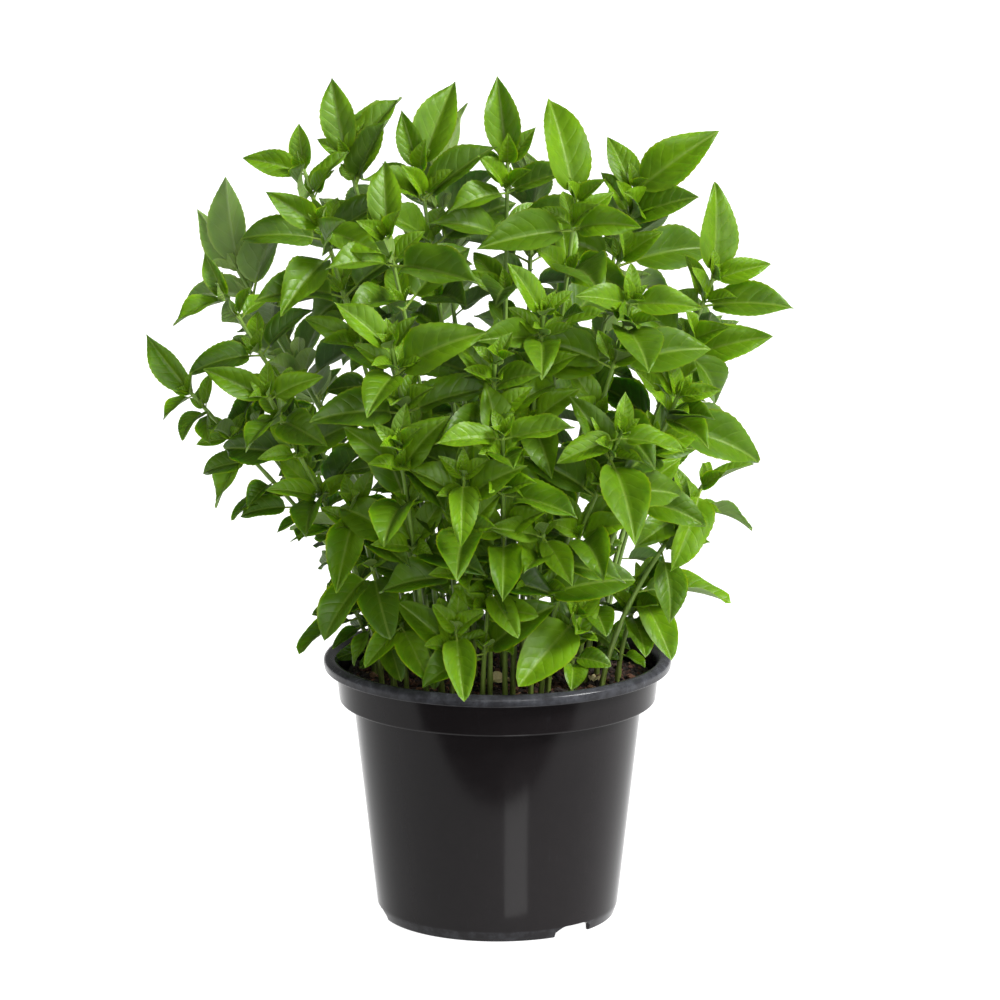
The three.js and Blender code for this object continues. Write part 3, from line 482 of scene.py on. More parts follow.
def young_leaves(shoot, index, line):
    """The bud leaves above the first pair, the leaves in the axils, and the small leaves lower down."""
    name, _, _, turn, size, pairs, _ = shoot
    small = YOUNG_LEAST + (1 - YOUNG_LEAST) * size
    for step, (below, long, rise, bend, stalk) in enumerate(BUD_PAIRS):
        form = (-step, stalk, bend)
        for side in (0, 1):
            aim = (turn - 90 * (step + 1) + 180 * side, rise, long * small)
            yield leaf_at(line, line.length - below, (index, 20 + step, side), "bud", form, aim)
    for pair in range(2, pairs + 1):
        distance = line.length - below_tip(pair, size) + AXIL_RISE
        for side in (0, 1):
            for number, (twist, rise, long) in enumerate(AXIL_LEAVES):
                keys = (index, 30 + pair, side, number)
                if draw(*keys, 6) >= AXIL_MISSING:
                    heading = turn + 90 * (pair - 1) + 180 * side + twist
                    aim = (heading, rise, long * (AXIL_SIZE + AXIL_GROWTH * pair) * small)
                    yield leaf_at(line, distance, keys, "axil", AXIL_FORM, aim)
    low, step = LOW_START, 0
    while low < line.length - below_tip(pairs, size) - LOW_END:
        bare = low < BARE_BELOW and line.at(low)[0].y < BARE_FRONT_Y
        for side in (0, 1):
            keys = (index, 50 + step, side)
            if not bare and draw(*keys, 6) >= LOW_MISSING:
                aim = (turn + 90 * step + 180 * side, LOW_RISE, LOW_REACH + min(LOW_GROWTH * low, LOW_MORE))
                yield leaf_at(line, low, keys, "low", LOW_FORM, aim)
        low += LOW_STEP * (1 + LOW_UNEVEN * swing(index, 50 + step, 7))
        step += 1
    for number, (stem, distance, tip, wide) in enumerate(LOW_LEAVES):
        if stem == name:
            yield leaf_at(line, distance, (index, 80, number), "set", SET_FORM, Vector(tip), wide=wide)


def leaf_frame(leaf):
    """The start, upper side and left side of a leaf whose tip lies at root + reach, its blade's length, and
    the angle of its bend."""
    angle = math.radians(max(leaf["bend"], LEAST_BEND))
    forward = leaf["stalk"] + math.sin(angle) / angle
    drop = (1 - math.cos(angle)) / angle
    chord = leaf["reach"].length
    lift = math.atan2(drop, forward)
    straight = leaf["reach"] / chord
    above = (leaf["up"] - straight * leaf["up"].dot(straight)).normalized()
    start = straight * math.cos(lift) + above * math.sin(lift)
    normal = above * math.cos(lift) - straight * math.sin(lift)
    return start, normal, normal.cross(start), chord / math.hypot(forward, drop), angle


# One leaf's pattern: a flat blade and stalk that the leafy stem's nodes bend into place


def outline(u, blunt):
    """Half the width of an ovate blade at a share of its length, of its widest half. blunt rounds its tip."""
    return math.sin(math.pi * u**0.74) ** (0.76 + (0.26 - blunt) * u) if 0 < u < 1 else 0.0


def leaf_pattern(name, stations, columns, quilting, tooth, blunt):
    """A closed leaf of unit form. share runs along it, below 0 on the stalk, veer across it from edge to
    edge and spread in half widths. swell lifts it off its middle surface and ring_x and ring_z are the
    stalk's section, in mm. under is 1 on the faces of the lower side."""
    rows = []  # share, veer, spread, swell, ring_x, ring_z
    faces, top, bottom = [], {}, {}
    for i in range(1, stations):
        u = i / stations
        half = outline(u, blunt)
        serrated = half * (1 + tooth * (1 if i % 2 else -1))
        for j in range(columns + 1):
            v = 2 * j / columns - 1
            a = abs(v) * half
            pillow = abs(math.sin(math.pi * (u - VEIN_LEAN * a - VEIN_ARCH * a * a) / VEIN_STEP)) ** 0.7
            pillow *= quilting * min(1, 3 * abs(v)) * (1 - v**4) * min(1, 6 * u, 5 * (1 - u))
            thick = BLADE_HALF * (1 - v**4)
            on_rib = math.exp(-((v / RIB_W) ** 2))
            top[i, j] = bottom[i, j] = len(rows)
            rows.append((u, v, serrated * v, pillow + thick - GROOVE * on_rib * (1 - u), 0, 0))
            if 0 < j < columns:
                bottom[i, j] = len(rows)
                rows.append((u, v, serrated * v, pillow - thick - RIB * on_rib * (1 - 0.8 * u), 0, 0))
    base, tip = len(rows), len(rows) + 1
    rows += [(0, 0, 0, 0, 0, 0), (1, 0, 0, 0, 0, 0)]
    last = stations - 1
    for j in range(columns):
        for i in range(1, last):
            faces.append((top[i, j], top[i + 1, j], top[i + 1, j + 1], top[i, j + 1]))
            faces.append((bottom[i, j], bottom[i, j + 1], bottom[i + 1, j + 1], bottom[i + 1, j]))
        faces += [(base, top[1, j], top[1, j + 1]), (base, bottom[1, j + 1], bottom[1, j])]
        faces += [(tip, top[last, j + 1], top[last, j]), (tip, bottom[last, j], bottom[last, j + 1])]
    lower = [0, 1] * (len(faces) // 2)
    edge_rows = [[base, *(top[i, j] for i in range(1, stations)), tip] for j in (0, columns)]
    margin = {tuple(sorted(pair)) for row in edge_rows for pair in zip(row, row[1:])}
    start = len(rows)
    for share, radius in STALK_RINGS:
        for k in range(STALK_SIDES):
            angle = 2 * math.pi * k / STALK_SIDES
            flat = STALK_FLAT * radius * math.cos(angle)
            rows.append((share, 0, 0, STALK_SUNK if share > 0 else 0, -radius * math.sin(angle), flat))
    for r in range(len(STALK_RINGS) - 1):
        for k in range(STALK_SIDES):
            a, b = start + r * STALK_SIDES + k, start + r * STALK_SIDES + (k + 1) % STALK_SIDES
            faces.append((a, b, b + STALK_SIDES, a + STALK_SIDES))
    faces += [tuple(range(start + STALK_SIDES - 1, start - 1, -1))]
    faces += [tuple(range(len(rows) - STALK_SIDES, len(rows)))]
    lower += [0] * (len(faces) - len(lower))
    mesh = new_mesh(name, [row[:3] for row in rows], [], faces)
    columns_of = np.array(rows, dtype=np.float32)
    for i, key in enumerate(LEAF_FLOATS[:-1]):
        mesh.attributes.new(key, "FLOAT", "POINT").data.foreach_set("value", columns_of[:, i].copy())
    mesh.attributes.new("under", "FLOAT", "FACE").data.foreach_set("value", np.array(lower, dtype=np.float32))
    mesh.shade_smooth()
    for edge in mesh.edges:
        edge.use_edge_sharp = tuple(sorted(edge.vertices)) in margin
    return placed(name, mesh)


VECTORS = ("root", "start", "normal", "side")
FLOATS = ("thick", "kind", "bend", "stalk", "blade_length", "twist", "half_width", "fold", "waves", "phase",
          "wave", "girth", "tint", "age")
LEAF_KINDS = ("Small leaf", "Large leaf", "Blunt leaf")
LEAF_FLOATS = ("share", "veer", "spread", "swell", "ring_x", "ring_z", "under")


def leafy_stem_tree(blade, underside, stem_skin):
    """The nodes that grow a leafy stem. Its points with thick > 0 lie along the stem, and each other point
    is a leaf, which holds its frame and sizes. Every leaf is bent in an arc away from its upper side."""
    tree, given = new_tree("leafy stem", (
        ("Points", "Geometry", None), *((kind, "Object", None) for kind in LEAF_KINDS),
        ("Stem squareness", "Float", 0.79), ("Relief", "Float", MM), ("Convexity", "Float", 0.12),
    ), "Plant")
    held = {name: add(tree, POINT_HELD, name) for name in (*FLOATS, *LEAF_FLOATS)}
    axes = {name: add(tree, POINT_HELD, name, data_type="FLOAT_VECTOR") for name in VECTORS}

    on_stem = add(tree, ABOVE, held["thick"], 0.0)
    parts = add(tree, "GeometryNodeSeparateGeometry", given["Points"], on_stem).outputs
    line = add(tree, "GeometryNodeMeshToCurve", parts["Selection"])
    section = add(tree, "GeometryNodeCurveStar", {
        "Points": 4, "Inner Radius": given["Stem squareness"], "Outer Radius": 1.0,
    })
    tube = add(tree, "GeometryNodeCurveToMesh", line, section, held["thick"], True)
    smooth = add(tree, "GeometryNodeSetShadeSmooth", tube)
    stem = add(tree, MATERIAL, {"Geometry": smooth, "Material": stem_skin})

    leaves = add(tree, JOIN)
    for kind, pattern in enumerate(LEAF_KINDS):
        chosen = add(tree, EQUAL, held["kind"], float(kind))
        source = add(tree, "GeometryNodeObjectInfo", given[pattern]).outputs["Geometry"]
        give(tree, leaves, add(tree, AT_POINTS, parts["Inverted"], chosen, source))
    real = add(tree, REALIZE, leaves)

    # the midrib: straight on the stalk, an arc on the blade
    share, bend, length = held["share"], held["bend"], held["blade_length"]
    turn = add(tree, TIMES, add(tree, MOST, share, 0.0), bend)
    on_stalk = add(tree, TIMES_PLUS, add(tree, LEAST, share, 0.0), held["stalk"], held["stalk"])
    run = add(tree, PLUS, add(tree, OVER, add(tree, SINE, turn), bend), on_stalk)
    fall = add(tree, OVER, add(tree, MINUS, add(tree, COSINE, turn), 1.0), bend)
    forth, down = add(tree, TIMES, run, length), add(tree, TIMES, fall, length)
    along = add(tree, ROTATE, {"Vector": axes["start"], "Axis": axes["side"], "Angle": turn})
    over = add(tree, ROTATE, {"Vector": axes["normal"], "Axis": axes["side"], "Angle": turn})
    begun = add(tree, PLUS, share, TWIST_START, use_clamp=True)
    twist = add(tree, TIMES, begun, held["twist"])
    left = add(tree, ROTATE, {"Vector": axes["side"], "Axis": along, "Angle": twist})
    upper = add(tree, ROTATE, {"Vector": over, "Axis": along, "Angle": twist})

    # each half of the blade rises from the midrib, arches over a little and waves at its edge
    spread, veer, half, fold = held["spread"], held["veer"], held["half_width"], held["fold"]
    flat_half = add(tree, TIMES, half, add(tree, COSINE, fold))
    risen_half = add(tree, TIMES, half, add(tree, SINE, fold))
    beside = add(tree, UNSIGNED, spread)
    veer_square = add(tree, TIMES, veer, veer)
    kept = add(tree, MINUS, 1.0, add(tree, TIMES, veer_square, given["Convexity"]))
    risen = add(tree, TIMES, add(tree, TIMES, beside, risen_half), kept)
    skewed = add(tree, TIMES_PLUS, veer, 1.3, held["phase"])
    angle = add(tree, TIMES_PLUS, share, held["waves"], skewed)
    ripple = add(tree, TIMES, add(tree, SINE, angle), held["wave"])
    lifted = add(tree, TIMES_PLUS, ripple, veer_square, risen)
    relief = add(tree, TIMES_PLUS, held["swell"], given["Relief"], lifted)
    girth = add(tree, TIMES, held["girth"], MM)
    to_left = add(tree, TIMES_PLUS, flat_half, spread, add(tree, TIMES, held["ring_x"], girth))
    to_upper = add(tree, TIMES_PLUS, held["ring_z"], girth, relief)

    place = axes["root"]
    for direction, distance in (
        (axes["start"], forth), (axes["normal"], down), (left, to_left), (upper, to_upper),
    ):
        place = add(tree, MOVED, place, add(tree, SCALED, {0: direction, "Scale": distance}))
    bent = add(tree, "GeometryNodeSetPosition", {"Geometry": real, "Position": place})
    green = add(tree, MATERIAL, {"Geometry": bent, "Material": blade})
    backed = add(tree, MATERIAL, green, add(tree, ABOVE, held["under"], 0.5), underside)
    whole = add(tree, JOIN, stem)
    give(tree, whole, backed)
    add(tree, "NodeGroupOutput", add(tree, REALIZE, whole))
    return tree


PATTERNED = ("share", "veer", "spread", "tint", "age")  # what a leaf's material reads
KEPT = {*PATTERNED, "position", "shade", "sharp_face", "sharp_edge", "material_index"}


def leaf_point(leaf):
    """What the leafy stem's nodes read of one leaf, in metres and radians."""
    start, normal, side, length, angle = leaf_frame(leaf)
    keys, pair, chord = leaf["keys"], leaf["pair"], leaf["reach"].length
    blunt = leaf["root"].z < BLUNT_BELOW and chord > BLUNT_REACH
    wide = leaf.get("wide", 1 + WIDER * max(pair - 1, 0)) + WIDTH_JITTER * swing(*keys, 11)
    return {
        "root": leaf["root"] * MM, "start": start, "normal": normal, "side": side, "bend": angle,
        "kind": 2.0 if blunt else float(chord > LARGE_LEAF), "stalk": leaf["stalk"],
        "blade_length": length * MM, "twist": math.radians(leaf["roll"]),
        "half_width": length * BLADE_WIDTH / 2 * MM * wide,
        "fold": math.radians(FOLD + FOLD_JITTER * swing(*keys, 12)),
        "waves": WAVES + MORE_WAVES * draw(*keys, 13), "phase": WHOLE_TURN * draw(*keys, 14),
        "wave": length * MM * (WAVE + MORE_WAVE * draw(*keys, 15)),
        "girth": min(MOST_GIRTH, LEAST_GIRTH + chord / GIRTH_REACH), "tint": draw(*keys, 16),
        "age": min(1, max(0, AGES[max(pair, 0)] + AGE_JITTER * swing(*keys, 17))),
    }


def stem_points(line, size, pairs):
    """Points along a stem, with its thickness: it tapers, and swells a little where each leaf pair grows."""
    thick = STEM_LOW_R * (SLIM_STEM + (1 - SLIM_STEM) * size)
    nodes = [line.length - below_tip(pair, size) for pair in range(1, pairs + 1)]
    nodes += [line.length - PAIRS[pairs][0] * size - BARE_NODE_STEP * k for k in range(1, BARE_NODES + 1)]
    found = [(line.root - Vector((0, 0, BURIED)), thick * 0.9)]
    for i in range(STEM_STEPS + 1):
        distance = line.length * i / STEM_STEPS
        swelling = sum(math.exp(-(((distance - node) / SWELLING_RUN) ** 2)) for node in nodes)
        radius = (thick + (STEM_TIP_R - thick) * i / STEM_STEPS) * (1 + SWELLING * swelling)
        found.append((line.at(distance)[0], radius * (1 if i < STEM_STEPS else 0.5)))
    return found


def grow_points(name, stem, leaves):
    """The points of one leafy stem, with what each point holds."""
    rows = [{"root": place * MM, "thick": radius * MM} for place, radius in stem] + leaves
    mesh = new_mesh(name, [row["root"] for row in rows], [(i, i + 1) for i in range(len(stem) - 1)], [])
    for key in VECTORS:
        values = np.array([row.get(key, (0, 0, 0)) for row in rows], dtype=np.float32)
        mesh.attributes.new(key, "FLOAT_VECTOR", "POINT").data.foreach_set("vector", values.ravel())
    for key in FLOATS:
        values = np.array([row.get(key, 0) for row in rows], dtype=np.float32)
        mesh.attributes.new(key, "FLOAT", "POINT").data.foreach_set("value", values)
    return placed(name, mesh)


def give_inputs(piece, tree, values):
    """A Geometry Nodes modifier with the tree, its inputs set by their identifiers."""
    modifier = piece.modifiers.new("grow", "NODES")
    modifier.node_group = tree
    for item in tree.interface.items_tree:
        if item.in_out == "INPUT" and item.name in values:
            modifier[item.identifier] = values[item.name]


def make_plain(pieces):
    """Turns each piece's evaluated shape into a plain mesh, and takes its modifiers off."""
    graph = bpy.context.evaluated_depsgraph_get()
    made = [bpy.data.meshes.new_from_object(p.evaluated_get(graph), depsgraph=graph) for p in pieces]
    for piece, mesh in zip(pieces, made):
        piece.modifiers.clear()
        piece.data = mesh
        for name in [a.name for a in mesh.attributes if a.name not in KEPT and not a.name.startswith(".")]:
            mesh.attributes.remove(mesh.attributes[name])


# Materials


def basil_leaf(name, greens, roughness, raised_veins, quilting):
    """Living basil leaf: a thin blade, waxy above and dull below, whose side veins leave the midrib in
    pairs about every sixth of its length, not quite evenly, and arch forwards. To the eye: soft sheen,
    quilting between the veins, a lighter midrib, and green light passing through."""
    deep, light, young, vein, stalk_green = map(colour, greens)
    made, tree, skin, place = new_material(name)
    held = {key: add(tree, HELD, attribute_name=key).outputs["Fac"] for key in PATTERNED}

    # how near a point is to a vein: 1 on it
    beside = add(tree, UNSIGNED, held["spread"])
    leaned = add(tree, TIMES_PLUS, beside, -VEIN_LEAN, held["share"])
    arched = add(tree, TIMES_PLUS, add(tree, TIMES, beside, beside), -VEIN_ARCH, leaned)
    astray = add(tree, NOISE, {"Vector": place, "Scale": 1 / (7 * MM), "Detail": 0.0})
    wandered = add(tree, TIMES_PLUS, astray, 0.07, arched)
    stepped = add(tree, FRACTION, add(tree, OVER, wandered, VEIN_STEP))
    off_middle = add(tree, MINUS, stepped, 0.5)
    near = add(tree, TIMES, add(tree, UNSIGNED, off_middle), 2.0)
    domed = add(tree, TIMES_PLUS, add(tree, TIMES, near, near), -1.0, 1.0)
    inner = add(tree, EASED, add(tree, UNSIGNED, held["veer"]), 0.95, 0.6, 0.0, 0.7)
    side_vein = add(tree, TIMES, add(tree, EASED, near, 0.8, 1.0, 0.0, 1.0), inner)
    midrib = add(tree, EASED, beside, 0.09, 0.02, 0.0, 1.0)
    veins = add(tree, TIMES_PLUS, side_vein, 0.36, midrib, use_clamp=True)
    puffed = add(tree, RANGE, held["age"], 0.0, 1.0, 0.4, 0.6)
    quilted = add(tree, TIMES, add(tree, TIMES, domed, inner), puffed)

    mottle = add(tree, NOISE, {"Vector": place, "Scale": 1 / (9 * MM), "Detail": 2.0})
    grown = add(tree, MIX, {"Factor": held["tint"], MIX_A: deep, MIX_B: light})
    aged = add(tree, MIX, {"Factor": held["age"], MIX_A: grown, MIX_B: young})
    blotch = add(tree, RANGE, mottle, 0.35, 0.7, 0.0, 0.4)
    mottled = add(tree, MIX, {"Factor": blotch, MIX_A: aged, MIX_B: deep})
    veined = add(tree, MIX, {"Factor": add(tree, TIMES, veins, 0.36), MIX_A: mottled, MIX_B: vein})
    on_stalk = add(tree, RANGE, held["share"], 0.06, -0.02, 0.0, 0.85)
    stalked = add(tree, MIX, {"Factor": on_stalk, MIX_A: veined, MIX_B: stalk_green})

    # the blade's finest relief, between its smallest veins
    dimples = add(tree, NOISE, {"Vector": place, "Scale": 1 / (1.6 * MM), "Detail": 0.0})
    vein_height = add(tree, TIMES_PLUS, veins, raised_veins, add(tree, TIMES, dimples, 0.3))
    relief = add(tree, TIMES_PLUS, quilted, quilting, vein_height)
    bump = add(tree, BUMP, {"Strength": 0.8, "Distance": 0.35 * MM, "Height": relief})
    shine = add(tree, RANGE, mottle, 0.3, 0.7, roughness - 0.06, roughness + 0.08)
    give(tree, skin, {
        "Base Color": stalked, "Normal": bump, "Roughness": shine, "IOR": 1.42, "Specular IOR Level": 0.3,
        "Subsurface Weight": 0.35, "Subsurface Radius": (0.55, 1.0, 0.12), "Subsurface Scale": 0.8 * MM,
    })
    return made


def basil_stem_skin():
    """Living basil stem: juicy and square, pale green above and darker olive brown near the soil, partly
    woody there and partly painted shade from the bush above. To the eye: a faint gloss, with streaks along
    its sides."""
    made, tree, skin, place = new_material("basil stem skin")
    height = add(tree, XYZ, place).outputs["Z"]
    streaks = add(tree, STRETCHED, place, (1 / (0.8 * MM), 1 / (0.8 * MM), 1 / (9 * MM)))
    streak = add(tree, NOISE, {"Vector": streaks, "Scale": 1.0, "Detail": 2.0})
    wandering = add(tree, TIMES_PLUS, streak, 0.03, height)
    # darker near the soil: woody brown, deepened further as painted shade under the bush
    woody_and_painted_shade = add(tree, RANGE, wandering, SOIL_TOP * MM, (SOIL_TOP + 55) * MM, 0.9, 0.0)
    green = add(tree, MIX, {"Factor": streak, MIX_A: colour("#567a26"), MIX_B: colour("#86a348")})
    aged = add(tree, MIX, {"Factor": woody_and_painted_shade, MIX_A: green, MIX_B: colour("#4c4822")})
    bump = add(tree, BUMP, {"Strength": 0.3, "Distance": 0.2 * MM, "Height": streak})
    give(tree, skin, {
        "Base Color": aged, "Normal": bump, "Roughness": 0.42, "IOR": 1.45, "Subsurface Weight": 0.12,
        "Subsurface Radius": (0.6, 1.0, 0.2), "Subsurface Scale": 1 * MM,
    })
    return made


def pot_polypropylene():
    """Black polypropylene, injection moulded: even and satin from the mould, greyed and scuffed where pots
    are stacked. To the eye: near black with a broad soft highlight, fine grain, paler rubs at the rim, and a
    paler band at the foot that is partly scuffs and partly a painted highlight."""
    made, tree, skin, place = new_material("black polypropylene, injection moulded")
    height = add(tree, XYZ, place).outputs["Z"]
    grain = add(tree, NOISE, {"Vector": place, "Scale": 1 / (0.7 * MM), "Detail": 3.0})
    clouds = add(tree, NOISE, {"Vector": place, "Scale": 1 / (6 * MM), "Detail": 6.0, "Roughness": 0.72})
    drawn = add(tree, STRETCHED, place, (1 / (2.4 * MM), 1 / (2.4 * MM), 1 / (30 * MM)))
    rubs = add(tree, NOISE, {"Vector": drawn, "Scale": 1.0, "Detail": 4.0, "Roughness": 0.65})
    scuffed = add(tree, RANGE, clouds, 0.42, 0.68, 0.0, 1.0)
    at_rim = add(tree, EASED, height, (POT_H - 7) * MM, (POT_H - 2) * MM, 0.0, 1.0)
    rim_wear = add(tree, TIMES, at_rim, add(tree, RANGE, scuffed, 0.0, 1.0, 0.3, 0.85))
    # the foot band is painted paler: partly scuffs from stacking, partly a painted highlight
    at_foot = add(tree, EASED, height, 4.6 * MM, 3.9 * MM, 0.0, 1.0)
    foot_scuffs_and_highlight = add(tree, TIMES, at_foot, add(tree, RANGE, scuffed, 0.0, 1.0, 0.06, 0.36))
    rubbed = add(tree, RANGE, rubs, 0.64, 0.84, 0.0, 0.12)
    wear_and_foot_highlight = add(tree, PLUS, add(tree, PLUS, rim_wear, foot_scuffs_and_highlight), rubbed, use_clamp=True)
    dark = add(tree, MIX, {"Factor": clouds, MIX_A: colour("#121011"), MIX_B: colour("#191617")})
    satin = add(tree, RANGE, clouds, 0.3, 0.7, 0.12, 0.16)
    give(tree, skin, {
        "Base Color": add(tree, MIX, {"Factor": wear_and_foot_highlight, MIX_A: dark, MIX_B: colour("#484a4f")}),
        "Roughness": add(tree, TIMES_PLUS, wear_and_foot_highlight, 0.18, satin), "IOR": 1.49, "Specular IOR Level": 0.155,
        "Normal": add(tree, BUMP, {"Strength": 0.1, "Distance": 0.05 * MM, "Height": grain}),
    })
    return made


def moist_peat():
    """Potting mix: moist peat, brown black and crumbly. To the eye: dull, with damp glints in the hollows."""
    made, tree, skin, place = new_material("moist peat")
    crumb = add(tree, NOISE, {"Vector": place, "Scale": 1 / (1.4 * MM), "Detail": 6.0, "Roughness": 0.7})
    tone = add(tree, RANGE, crumb, 0.35, 0.7, 0.0, 1.0)
    give(tree, skin, {
        "Base Color": add(tree, MIX, {"Factor": tone, MIX_A: colour("#120d0a"), MIX_B: colour("#3a271b")}),
        "Roughness": add(tree, RANGE, crumb, 0.3, 0.6, 0.55, 0.95),
        "Normal": add(tree, BUMP, {"Strength": 0.9, "Distance": 1 * MM, "Height": crumb}),
    })
    return made


def bark_crumbs():
    """Composted bark: chips and crumbs from black to reddish brown, a few dry ones paler. To the eye: dull,
    fibrous, and lighter than the peat that they lie in."""
    made, tree, skin, place = new_material("composted bark")
    shade = add(tree, HELD, attribute_name="shade").outputs["Fac"]
    fibre = add(tree, NOISE, {"Vector": place, "Scale": 1 / (0.5 * MM), "Detail": 4.0})
    tone = add(tree, "ShaderNodeValToRGB", shade)
    ramp = tone.color_ramp.elements
    ramp[0].color, ramp[1].color = colour("#1a120d"), colour("#8f7450")
    for at, hex_value in ((0.45, "#2b1b12"), (0.75, "#4d2d1c"), (0.93, "#6b452c")):
        ramp.new(at).color = colour(hex_value)
    darkened = add(tree, RANGE, fibre, 0.3, 0.65, 0.6, 0.0)
    give(tree, skin, {
        "Base Color": add(tree, MIX, {"Factor": darkened, MIX_A: tone, MIX_B: colour("#140e0a")}),
        "Normal": add(tree, BUMP, {"Strength": 0.6, "Distance": 0.4 * MM, "Height": fibre}),
        "Roughness": 0.85,
    })
    return made


def dried_leaf():
    """Dried basil leaf: papery, and straw coloured with browner patches, both paler than its own colour as
    painted light against the shade of the bush above. To the eye: dull, thin, creased.
    """
    made, tree, skin, place = new_material("dried leaf")
    crease = add(tree, NOISE, {"Vector": place, "Scale": 1 / (1.8 * MM), "Detail": 5.0, "Distortion": 0.6})
    # both straw tones are painted lighter than a dried leaf's own, to offset the bush's shade
    give(tree, skin, {
        "Base Color": add(tree, MIX, {"Factor": crease, MIX_A: colour("#ab9556"), MIX_B: colour("#efe6b4")}),
        "Normal": add(tree, BUMP, {"Strength": 0.8, "Distance": 0.5 * MM, "Height": crease}),
        "Roughness": 0.75,
    })
    return made


# The pot


def rounded(profile, steps=4):
    """A profile of radius, height and round, with each corner rounded. A point on the straight beside each
    end of a round keeps the straight's shading flat, so that it mirrors like a straight wall."""
    found = [Vector(profile[0][:2])]
    for before, (r, z, round_off), after in zip(profile, profile[1:], profile[2:]):
        corner = Vector((r, z))
        to_before, to_after = Vector(before[:2]) - corner, Vector(after[:2]) - corner
        cut = min(round_off, MOST_ROUND * to_before.length, MOST_ROUND * to_after.length)
        first, last = corner + to_before.normalized() * cut, corner + to_after.normalized() * cut
        found.append(corner + to_before.normalized() * HOLDING * cut)
        for i in range(steps + 1):
            t = i / steps
            found.append(first * (1 - t) ** 2 + corner * (2 * t * (1 - t)) + last * t * t)
        found.append(corner + to_after.normalized() * HOLDING * cut)
    return found + [Vector(profile[-1][:2])]


def lathe(name, profile, segments):
    """A closed body of revolution about Z. The profile runs from the axis below round the outside."""
    verts, faces = [], []
    for r, z in profile[1:-1]:
        for k in range(segments):
            angle = 2 * math.pi * k / segments
            verts.append((r * math.cos(angle) * MM, r * math.sin(angle) * MM, z * MM))
    rings = len(profile) - 2
    low, high = len(verts), len(verts) + 1
    verts += [(0, 0, profile[0][1] * MM), (0, 0, profile[-1][1] * MM)]
    last = (rings - 1) * segments
    for k in range(segments):
        after = (k + 1) % segments
        faces += [(low, after, k), (high, last + k, last + after)]
        for i in range(rings - 1):
            a, b = i * segments, (i + 1) * segments
            faces.append((a + k, a + after, b + after, b + k))
    mesh = new_mesh(name, verts, [], faces)
    mesh.shade_smooth()
    return placed(name, mesh)


def add_prism(verts, faces, near, far):
    """Adds a closed prism between two outlines."""
    start, n = len(verts), len(near)
    verts += near + far
    faces.append(tuple(start + i for i in reversed(range(n))))
    faces.append(tuple(start + n + i for i in range(n)))
    faces += [(start + i, start + (i + 1) % n, start + n + (i + 1) % n, start + n + i) for i in range(n)]


def pot_cutters():
    """Three arched notches through the foot ring and six drain holes through the raised floor."""
    half, verts, faces = NOTCH_W / 2, [], []
    arch = [(-half, -1), (half, -1), (half, NOTCH_H * 0.5)]
    for t in (0.3, 0.6, 0.85, 1):
        arch.append((half - 0.25 * NOTCH_W * t, NOTCH_H * (0.5 + 0.5 * math.sin(t * math.pi / 2))))
    arch += [(-x, z) for x, z in reversed(arch[2:])]
    for heading in NOTCH_HEADINGS:
        out = Vector((math.cos(math.radians(heading)), math.sin(math.radians(heading)), 0))
        side = Vector((-out.y, out.x, 0))
        add_prism(verts, faces, *(
            [(out * distance + side * x + Vector((0, 0, z))) * MM for x, z in arch] for distance in NOTCH_RUN
        ))
    for hole in range(DRAIN_COUNT):
        around = 2 * math.pi * hole / DRAIN_COUNT
        ring = []
        for k in range(DRAIN_SEGMENTS):
            turn = 2 * math.pi * k / DRAIN_SEGMENTS
            x = DRAIN_RING_R * math.cos(around) + DRAIN_R * math.cos(turn)
            ring.append((x, DRAIN_RING_R * math.sin(around) + DRAIN_R * math.sin(turn)))
        add_prism(verts, faces, *([Vector((x, y, z)) * MM for x, y in ring] for z in DRAIN_RUN))
    mesh = new_mesh("cutters", verts, [], faces)
    shape = bmesh.new()
    shape.from_mesh(mesh)
    bmesh.ops.recalc_face_normals(shape, faces=shape.faces)
    shape.to_mesh(mesh)
    shape.free()
    return placed("cutters", mesh)


def make_pot():
    pot = lathe("nursery_pot", rounded(POT_PROFILE), POT_SEGMENTS)
    cutters = pot_cutters()
    cut = pot.modifiers.new("notches and drains", "BOOLEAN")
    cut.object, cut.operation, cut.solver = cutters, "DIFFERENCE", "EXACT"
    make_plain([pot])
    bpy.data.objects.remove(cutters)
    pot.data.set_sharp_from_angle(angle=math.radians(SHARP_FROM))
    pot.data.materials.clear()
    pot.data.materials.append(pot_polypropylene())
    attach(pot, "root")
    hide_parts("pot")


# The potting mix


def soil_height(x, y):
    broad = math.sin(x * 0.13 + 1) * math.cos(y * 0.11)
    small = 0.5 * math.sin(y * 0.21 + x * 0.07)
    return SOIL_TOP + SOIL_SWELL * (broad + small)


